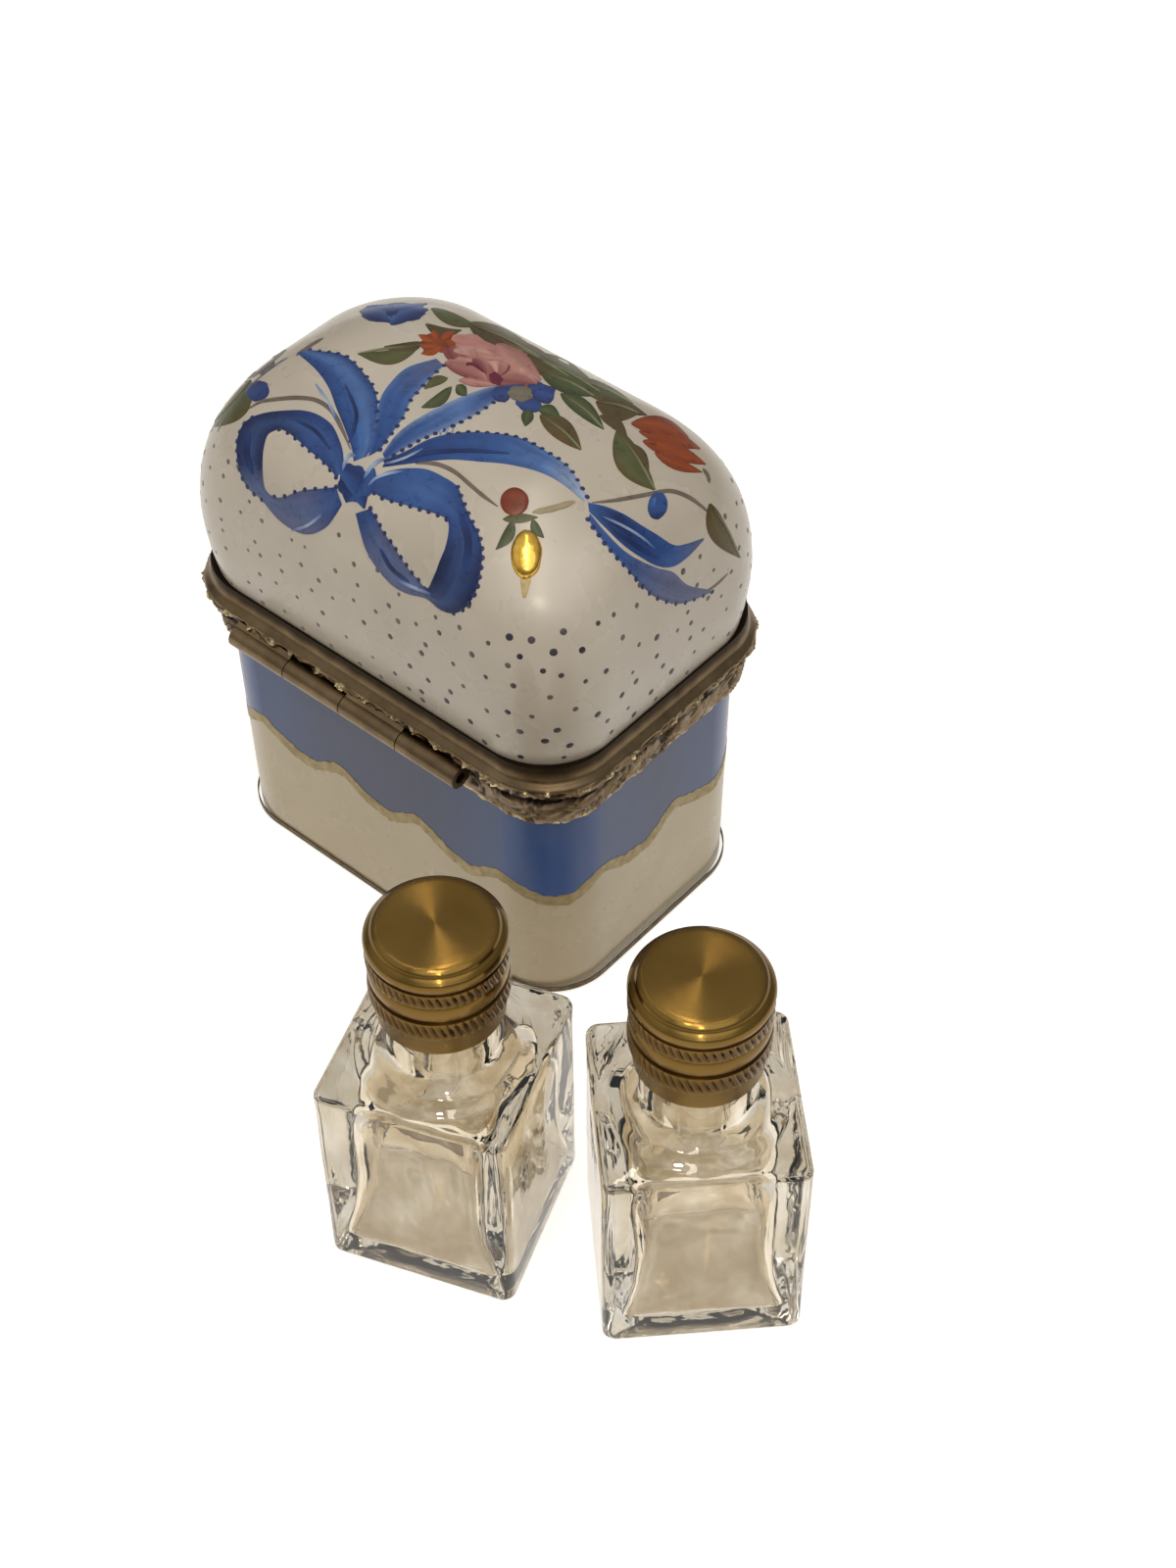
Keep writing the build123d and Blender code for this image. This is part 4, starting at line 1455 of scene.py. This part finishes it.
def paint_ribbon(onto, mark):
    """The bow, laid tail by tail with the loops and the knot last."""
    bow = Painting("painted_ribbon" + mark, onto)
    steady = shade_across(RIBBON_DARK, RIBBON_MID, RIBBON_LIGHT, RIBBON_DARK)
    bow.between(TAIL_UP_LEFT, TAIL_UP_LEFT_EDGE, steady, 0.03)
    rising = shade_both([RIBBON_DARK, RIBBON_MID, RIBBON_VIOLET], RIBBON_LIGHT, 0.7)
    bow.between(TAIL_UP, TAIL_UP_EDGE, rising, 0.03)
    third = shade_both([RIBBON_DARK, RIBBON_MID, RIBBON_LIGHT, RIBBON_DARK], RIBBON_PALE, 0.5)
    bow.between(TAIL_THIRD, TAIL_THIRD_EDGE, third, 0.03)
    fading = shade_both([RIBBON_DEEP, RIBBON_DARK, RIBBON_MID, RIBBON_LIGHT, RIBBON_PALE], RIBBON_MID)
    bow.between(TAIL_LONG, TAIL_LONG_EDGE, fading, 0.03)
    low = shade_both([RIBBON_MID, RIBBON_MID, RIBBON_VIOLET, RIBBON_VIOLET], RIBBON_VIOLET)
    bow.between(STRAY_LOW, STRAY_LOW_EDGE, low, 0.028)
    top = shade_both([RIBBON_MID, RIBBON_DEEP, RIBBON_DARK, RIBBON_MID, RIBBON_VIOLET], RIBBON_MID)
    bow.between(STRAY_TOP, STRAY_TOP_EDGE, top, 0.035)
    bow.between(LOOP_LEFT_OUTER, LOOP_LEFT_INNER, loop_shades(LEFT_TURNS), 0.04)
    bow.between(LOOP_RIGHT_OUTER, LOOP_RIGHT_INNER, loop_shades(RIGHT_TURNS), 0.04)
    knot = shade_across(RIBBON_DARK, RIBBON_DEEP, RIBBON_DARK)
    bow.blob((362, 494), (17, 21), knot, 0.045, 0.02, 12, 0.3)
    fold = shade_across(RIBBON_MID, RIBBON_DARK, RIBBON_DEEP)
    bow.leaf((349, 478), (372, 519), 21, fold, 0.1, 0.055, 0.03)
    fold = shade_across(RIBBON_DARK, RIBBON_MID, RIBBON_DARK)
    bow.leaf((382, 478), (356, 512), 17, fold, 0.12, 0.06, 0.03)
    pale = shade_along(RIBBON_LIGHT, RIBBON_PALE, RIBBON_LIGHT)
    for line, width in (
        ([(350, 480), (353, 470), (358, 464), (364, 466)], 3.5),
        ([(372, 488), (378, 478), (386, 471), (394, 468)], 4.0),
        ([(376, 496), (384, 488), (398, 483), (412, 481)], 3.0),
        ([(392, 474), (412, 468), (432, 458)], 2.5),
        ([(298, 541), (314, 536), (330, 524)], 3.0),
        ([(406, 592), (424, 600), (440, 606)], 3.0),
        ([(322, 392), (336, 412), (344, 430)], 3.0),
        # Painted highlights: the next three short pale strokes stand for glints off the brush ridges.
        ([(449, 444), (452, 437)], 2.2),
        ([(455, 444), (457, 436)], 2.2),
        ([(461, 443), (463, 437)], 2.0),
        ([(614, 527), (634, 536), (654, 548), (668, 560)], 2.5),
    ):
        bow.stroke(line, width, pale, 0.09)
    deep = shade_along(RIBBON_DARK, RIBBON_DEEP, RIBBON_DARK)
    for line, width in (
        ([(255, 440), (252, 462), (258, 484)], 6.0),
        ([(300, 428), (322, 440), (338, 460)], 4.0),
        ([(468, 520), (478, 552), (474, 586)], 8.0),
        ([(388, 560), (400, 580), (418, 594)], 4.0),
        ([(356, 452), (364, 424), (352, 392)], 4.0),
        ([(404, 468), (440, 462), (480, 460), (520, 463)], 4.0),
        ([(624, 536), (648, 556), (672, 570)], 5.0),
    ):
        bow.stroke(line, width, deep, 0.075)
    bow.finish()
    edging = Painting("painted_ribbon_edging" + mark, onto)
    for edge in PICOT_EDGES:
        edging.picots(edge)
    edging.finish()


# Stems, leaves and buds
STEMS = (
    ([(254, 417), (267, 410), (286, 407), (306, 406), (324, 409), (339, 420), (349, 438), (358, 459)], 4.5),
    ([(424, 473), (441, 473), (453, 476), (466, 483), (480, 495), (493, 506), (508, 517)], 4.5),
    ([(604, 513), (625, 511), (648, 507), (664, 504), (683, 501), (700, 506), (715, 516), (727, 527)], 4.5),
    ([(717, 478), (722, 485), (724, 493)], 4),
    ([(702, 604), (716, 605), (729, 598), (743, 585)], 2.5),
    ([(302, 363), (318, 352), (330, 345)], 3.5),
)
OLIVE = shade_across(LEAF_OLIVE, LEAF_GREEN, LEAF_OLIVE)
GREEN = shade_across(LEAF_DARK, LEAF_GREEN, LEAF_DARK)
BROWN = shade_across(LEAF_BROWN, LEAF_OLIVE, LEAF_BROWN)
SHADED = shade_across(LEAF_DARK, LEAF_BROWN, LEAF_OLIVE)
LEAVES = (
    ((256, 388), (213, 436), 25, OLIVE, 0.1),
    ((427, 354), (365, 361), 15, OLIVE, 0.12),
    ((432, 350), (392, 354), 12, BROWN, 0.1),
    ((461, 395), (430, 416), 12, GREEN, 0.1),
    ((457, 386), (433, 397), 10, OLIVE, -0.1),
    ((466, 393), (476, 404), 12, GREEN, 0),
    ((572, 402), (616, 438), 17, GREEN, 0.06),
    ((551, 424), (593, 459), 22, BROWN, 0.06),
    ((549, 417), (572, 427), 13, GREEN, 0.1),
    ((540, 417), (536, 435), 13, GREEN, 0.0),
    ((608, 410), (652, 422), 18, BROWN, -0.12),
    ((612, 424), (640, 446), 12, BROWN, 0.1),
    ((629, 440), (668, 500), 28, OLIVE, -0.08),
    ((640, 452), (662, 482), 11, BROWN, 0.1),
    ((724, 514), (755, 569), 20, BROWN, -0.1),
    ((434, 331), (471, 337), 11, SHADED, -0.15),
    ((440, 315), (486, 333), 13, OLIVE, -0.05),
    ((478, 330), (556, 368), 26, SHADED, -0.02),
    ((508, 347), (580, 384), 26, BROWN, -0.02),
    ((540, 362), (612, 400), 28, OLIVE, -0.02),
    ((552, 380), (606, 404), 22, GREEN, 0.02),
    ((586, 386), (646, 412), 18, OLIVE, -0.03),
    ((606, 398), (660, 424), 14, BROWN, -0.03),
    ((524, 531), (506, 561), 12, GREEN, 0.1),
    ((543, 530), (555, 549), 10, GREEN, -0.1),
    ((513, 530), (549, 528), 10, OLIVE, 0.0),
)


def paint_garland(onto, mark):
    garland = Painting("painted_stems_and_leaves" + mark, onto)
    for line, width in STEMS:
        garland.stroke(line, width, shade_both([STEM_GREY, STEM_GREY], DOT_FAINT, 0.3), 0.022)
    garland.stroke([(543, 523), (564, 519), (587, 512)], 7.0, shade_along(STEM_TAN, STEM_TAN), 0.022)
    for start, end, width, shades, bend in LEAVES:
        garland.leaf(start, end, width, shades, bend)
        if width > 14:
            spine = ((start[0] + end[0]) / 2 + 2, (start[1] + end[1]) / 2 - 2)
            garland.stroke([start, spine, end], 2.0, shade_along(LEAF_OLIVE, LEAF_PALE), 0.09)
    garland.finish()


def paint_flowers(onto, mark):
    """Rose, orange flower, two blue flowers, a red one, buds and a berry, petal by petal."""
    flowers = Painting("painted_flowers" + mark, onto)
    light = shade_across(ROSE_MID, ROSE_LIGHT, ROSE_MID)
    pale = shade_across(ROSE_LIGHT, ROSE_PALE, ROSE_LIGHT)
    dusk = shade_across(ROSE_DEEP, ROSE_MID, ROSE_LIGHT)
    deep = shade_across(ROSE_DEEP, ROSE_DEEP, ROSE_MID)
    heart = shade_across(ROSE_HEART, ROSE_HEART)
    flowers.blob((500, 369), (48, 22), shade_across(ROSE_LIGHT, ROSE_MID, ROSE_DEEP), 0.03, 0.03, 24, 0.2)
    flowers.leaf((455, 348), (467, 372), 16, deep, 0.0, 0.045)
    flowers.leaf((462, 350), (538, 362), 17, light, -0.12, 0.05)
    flowers.leaf((506, 352), (552, 388), 28, light, -0.05, 0.055)
    flowers.leaf((508, 386), (548, 392), 14, dusk, 0.1, 0.058)
    flowers.leaf((454, 370), (498, 391), 20, dusk, 0.1, 0.055)
    flowers.leaf((468, 388), (506, 393), 9, light, 0.0, 0.06)
    flowers.stroke([(463, 358), (480, 358), (493, 361), (503, 368), (507, 380)], 10, pale, 0.066)
    flowers.stroke([(512, 356), (522, 366), (527, 378), (524, 390)], 8, light, 0.064)
    flowers.stroke([(482, 367), (490, 372), (497, 381)], 9, deep, 0.07)
    flowers.stroke([(470, 374), (482, 372), (494, 380)], 3.5, heart, 0.073)
    flowers.stroke([(510, 384), (518, 378), (520, 368)], 3.0, deep, 0.072)
    flowers.blob((506, 387), (7, 6), heart, 0.07, 0.01, 30, 0.3)
    flowers.stroke([(530, 376), (534, 380)], 2.5, pale, 0.074)
    tawny = shade_across(ORANGE_DEEP, ORANGE, ORANGE)
    shadow = shade_along(ORANGE, ORANGE_DEEP)
    flowers.blob((447, 350), (17, 10), shade_across(ORANGE, ORANGE_DEEP, ORANGE), 0.03, 0.02, 0, 0.4)
    for start, end, width in (
        ((446, 348), (427, 342), 8),
        ((448, 352), (428, 352), 8),
        ((450, 354), (430, 361), 9),
        ((448, 348), (442, 337), 9),
        ((450, 348), (464, 339), 9),
        ((452, 352), (466, 352), 9),
    ):
        flowers.leaf(start, end, width, tawny, 0.05, 0.05)
    flowers.leaf((440, 350), (460, 356), 9, shadow, 0.1, 0.058)
    red = shade_across(RED_BROWN, ORANGE, RED_BROWN)
    for start, end, width, bend in (
        ((644, 432), (702, 446), 18, 0.08),
        ((652, 440), (714, 458), 17, 0.04),
        ((656, 450), (720, 474), 17, 0.02),
        ((668, 462), (716, 482), 12, -0.04),
    ):
        flowers.leaf(start, end, width, red, bend, 0.045)
    for line in ([(654, 440), (684, 446), (706, 456)], [(662, 452), (688, 460), (710, 472)]):
        flowers.stroke(line, 3.0, shade_along(ORANGE_DEEP, ORANGE_DEEP), 0.06)
    navy = shade_across(FLOWER_NAVY, FLOWER_BLUE, FLOWER_NAVY)
    for centre, radii, turn in (
        ((512, 402), (10, 8), 0),
        ((555, 402), (12, 10), 20),
        ((540, 413), (14, 8), 10),
        ((526, 395), (12, 6), 10),
        ((546, 396), (10, 6), -10),
    ):
        flowers.blob(centre, radii, navy, 0.035, 0.01, turn, 0.25)
    flowers.blob((531, 402), (13, 8), shade_across(FLOWER_EYE, DOT_FAINT, FLOWER_EYE), 0.05, 0.02, 8, 0.2)
    petal = shade_across(FLOWER_NAVY, FLOWER_BLUE, RIBBON_LIGHT)
    far = shade_across(FLOWER_BLUE, FLOWER_BLUE, FLOWER_NAVY)
    flowers.blob((402, 319), (34, 10), far, 0.03, 0.01, -2, 0.25)
    flowers.leaf((367, 318), (402, 330), 13, petal, 0.1, 0.045)
    flowers.leaf((398, 331), (437, 316), 15, petal, 0.1, 0.048)
    flowers.leaf((374, 313), (436, 310), 8, shade_across(FLOWER_BLUE, RIBBON_MID), -0.05, 0.05)
    flowers.stroke([(384, 326), (400, 320), (418, 322)], 4, shade_along(FLOWER_NAVY, FLOWER_NAVY), 0.056)
    flowers.blob((671, 516), (10, 14), shade_across(FLOWER_BLUE, RIBBON_MID, FLOWER_NAVY), 0.04, 0.05, 10)
    flowers.stroke([(668, 508), (666, 518)], 3, shade_along(RIBBON_LIGHT, RIBBON_MID), 0.1)
    flowers.blob((263, 399), (12, 10), navy, 0.04, 0.04, -25, 0.15)
    flowers.leaf((252, 386), (292, 357), 16, shade_across(STEM_GREY, FLOWER_NAVY, STEM_GREY), 0.1, 0.035)
    berry = shade_both([BERRY_RED, RED_BROWN, BERRY_RED], ORANGE_DEEP, 0.8)
    flowers.blob((525, 512), (14.5, 14.5), berry, 0.04, 0.1, 0, 0.05)
    flowers.finish()


DROP_HALF_WIDTH = 16
GOLD_SHADE = shade_along(DOT_FAINT, DOT_FAINT)


def paint_drop(onto, mark):
    """The raised gold drop under its calyx, with its gilt tip."""
    drop = Painting("gold_drop" + mark, onto)
    drop.blob((537, 566), (25, DROP_HALF_WIDTH), GOLD_SHADE, 0.06, 0.62, 92, 0.05)
    drop.finish(GOLD)
    tip = Painting("gilt_drop_tip" + mark, onto)
    tip.stroke([(537, 584), (536, 598), (535, 610)], 12, GOLD_SHADE, 0.05, (0.0, 0.9))
    tip.finish(GILT)


for onto, mark in ((on_lid, ""), (on_flank, "_front")):
    paint_ribbon(onto, mark)
    paint_garland(onto, mark)
    paint_flowers(onto, mark)
    paint_drop(onto, mark)

# Scattered dots on the lower lid, darker towards the hinge side's near corner
DOT_ROWS = 8
DOT_SPACING = 3.5
DOT_ROW_PITCH = 2.35
DOT_FIRST_ROW = 1.1
DOT_RING_STEPS = (60, 36, 22)
DOT_LIFT = 0.022
DOTS_DROPPED = 0.06


def dot_row(height):
    """The lid's outline at a height, for a row of dots."""
    step = (LID_BELLY_HEIGHT - height) / (LID_BELLY_HEIGHT - LID_RIM_HEIGHT)
    pinch = LID_FLARE * step**2 if step > 0 else 0.0
    half_length, half_width = LID_HALF_LENGTH - pinch, LID_HALF_WIDTH - pinch
    return rounded_outline(half_length, half_width, LID_CORNER, height, DOT_RING_STEPS)


random_dots = random.Random(41)
dots = Painting("painted_dots", on_lid)
for row in range(DOT_ROWS):
    height = LID_MOUNT_TOP + DOT_FIRST_ROW + row * DOT_ROW_PITCH
    ring = dot_row(height)
    travel = outline_travel(ring)
    around = travel[-1]
    count = int(around / DOT_SPACING)
    for index in range(count):
        goal = (index + 0.5 * (row % 2) + random_dots.uniform(-0.28, 0.28)) * around / count
        spot = min(range(len(travel)), key=lambda place: abs(travel[place] - goal % around))
        wish = ring[spot] + Vector((0, 0, random_dots.uniform(-0.75, 0.75)))
        keep = random_dots.random()
        size = random_dots.uniform(0.75, 1.2)
        point, normal, _, _ = lid_tree.find_nearest(wish)
        if normal.dot(Vector((wish.x, wish.y, 0))) < 0 or keep < DOTS_DROPPED:
            continue
        corner = (Vector((-LID_HALF_LENGTH + 5, LID_HALF_WIDTH - 5, height)) - point).length
        depth = ease(30.0, 4.0, corner) * random_dots.uniform(0.25, 1.0) + random_dots.uniform(0.0, 0.22)
        depth = min(depth, 1.0)
        dots.dot_at(point, normal, (0.33 + 0.13 * depth) * size, mixed(DOT_FAINT, DOT_DARK, depth), DOT_LIFT)
dots.finish()


# Floor, light and camera
FLOOR_GLOW = 0.5
FLOOR_CAMERA_GLOW = 0.14


def background_rays(tree):
    """The kind of each ray, and 1 for the rays that show the background white."""
    rays = add(tree, "LightPath")
    direct = {0: rays.outputs["Is Camera Ray"], 1: rays.outputs["Is Glossy Ray"]}
    seen = {0: add(tree, "Math", direct, operation="ADD"), 1: rays.outputs["Is Transmission Ray"]}
    return rays, add(tree, "Math", seen, operation="ADD", use_clamp=True)


def floor_material():
    """Matt pale sheet that shows as near white and keeps the object's shadow."""
    material = new_material("floor_matt_paper")
    rays, seen = background_rays(material)
    glow = add(material, "Math", {0: seen, 1: FLOOR_GLOW}, operation="MULTIPLY")
    direct = {0: rays.outputs["Is Camera Ray"], 1: FLOOR_CAMERA_GLOW, 2: glow}
    paper = {
        "Base Color": colour("#f1efeb"),
        "Roughness": 0.9,
        "Specular IOR Level": 0.1,
        "Emission Color": colour("#ffffff"),
        "Emission Strength": add(material, "Math", direct, operation="MULTIPLY_ADD"),
    }
    return finished(material, add(material, "BsdfPrincipled", paper))


FLOOR_DROP = 0.02
floor_skin = bmesh.new()
bmesh.ops.create_grid(floor_skin, x_segments=4, y_segments=4, size=900.0 * MM)
bmesh.ops.translate(floor_skin, vec=(0, 0, -FLOOR_DROP * MM), verts=floor_skin.verts)
floor_mesh = bpy.data.meshes.new("floor")
floor_skin.to_mesh(floor_mesh)
floor_skin.free()
floor = bpy.data.objects.new("floor", floor_mesh)
bpy.context.scene.collection.objects.link(floor)
floor_mesh.materials.append(floor_material())


def studio_world():
    """Even pale light, and white for the rays that show the background."""
    world = bpy.data.worlds.new("studio")
    bpy.context.scene.world = world
    world.use_nodes = True
    world.node_tree.nodes.clear()
    rays, seen = background_rays(world)
    heading = add(world, "TexCoord").outputs["Generated"]
    height = add(world, "SeparateXYZ", {"Vector": heading}).outputs["Z"]
    stops = [(0.0, grey(0.2)), (0.35, grey(0.33)), (0.85, grey(0.68))]
    sky = add(world, "ValToRGB", {"Fac": height}, stops)
    deep = {0: rays.outputs["Transmission Depth"], 1: 1.0}
    inside_glass = add(world, "Math", deep, operation="MINIMUM")
    through = add(world, "Mix", {0: inside_glass, 6: sky, 7: grey(0.85)}, **BLEND)
    shown = {0: rays.outputs["Is Camera Ray"], 6: through, 7: grey(1.0)}
    white = add(world, "Background", {"Color": add(world, "Mix", shown, **BLEND), "Strength": 1.0})
    soft = add(world, "Background", {"Color": colour("#fff8ee"), "Strength": 0.25})
    both = add(world, "MixShader", {0: seen, 1: soft, 2: white})
    add(world, "OutputWorld", {"Surface": both})


def area_lamp(name, matrix, size, power, tint, width=None):
    """A round lamp, or a strip where a width is given."""
    lamp = bpy.data.lights.new(name, "AREA")
    lamp.shape = "RECTANGLE" if width else "DISK"
    lamp.size = size * MM
    if width:
        lamp.size_y = width * MM
    lamp.energy = power
    lamp.color = colour(tint)[:3]
    holder = bpy.data.objects.new(name, lamp)
    bpy.context.scene.collection.objects.link(holder)
    holder.matrix_world = matrix


def aimed(place, target):
    """Stands a lamp at a place and turns it to its target."""
    place = Vector(place)
    aim = Vector(target) - place
    return Matrix.Translation(place * MM) @ aim.to_track_quat("-Z", "Y").to_matrix().to_4x4()


DROP_GLEAM = (534, 572)
LAMP_REACH = 330.0
CAPS_MIDDLE = Vector((-40.0, 36.0, 36.0))
STRIP_HEIGHT = 420.0
GLINT_ELEVATION = math.radians(52)
TO_VIEWER = CAMERA_PLACE - CAPS_MIDDLE
TO_VIEWER.z = 0
TO_VIEWER.normalize()


def gleam_lamp_place():
    """Where a lamp stands so that the lid mirrors it to the camera at the gold drop."""
    point, normal = on_lid(*DROP_GLEAM)
    view = (CAMERA_PLACE - point).normalized()
    mirrored = 2 * normal.dot(view) * normal - view
    return point + mirrored * LAMP_REACH


def glint_lamp_place():
    """Over the viewer's shoulder, so that the caps glint."""
    rise = Vector((0, 0, math.sin(GLINT_ELEVATION)))
    return CAPS_MIDDLE + (TO_VIEWER * math.cos(GLINT_ELEVATION) + rise) * LAMP_REACH


def strip_lamp_place():
    """Overhead, its length in line with the viewer, to draw the streaks on the caps."""
    up = Vector((0, 0, 1))
    axes = Matrix((TO_VIEWER, up.cross(TO_VIEWER), up)).transposed().to_4x4()
    return Matrix.Translation((CAPS_MIDDLE + STRIP_HEIGHT * up) * MM) @ axes


studio_world()
area_lamp("strip_light", strip_lamp_place(), 520, 0.36, "#fff4e2", 22)
area_lamp("glint_lamp", aimed(glint_lamp_place(), CAPS_MIDDLE), 14, 0.11, "#fff0d6")
area_lamp("window_light", aimed((-355, 260, 790), (-10, 10, 30)), 1000, 2.5, "#ffffff")
area_lamp("fill_light", aimed((420, 480, 430), (0, 10, 30)), 800, 0.4, "#fffaf2")
area_lamp("small_lamp", aimed(gleam_lamp_place(), (-20, 22, 35)), 20, 0.12, "#fff0d6")

camera = bpy.data.cameras.new("camera")
camera.sensor_width = SENSOR_MM
camera.lens = SENSOR_MM * FOCAL_PIXELS / PHOTO_HEIGHT
camera.clip_start = 0.005
holder = bpy.data.objects.new("camera", camera)
bpy.context.scene.collection.objects.link(holder)
facing = Matrix((SIGHT_RIGHT, SIGHT_UP, -SIGHT_AHEAD)).transposed()
holder.matrix_world = Matrix.Translation(CAMERA_PLACE * MM) @ facing.to_4x4()
bpy.context.scene.camera = holder
bpy.context.scene.view_settings.view_transform = "Standard"
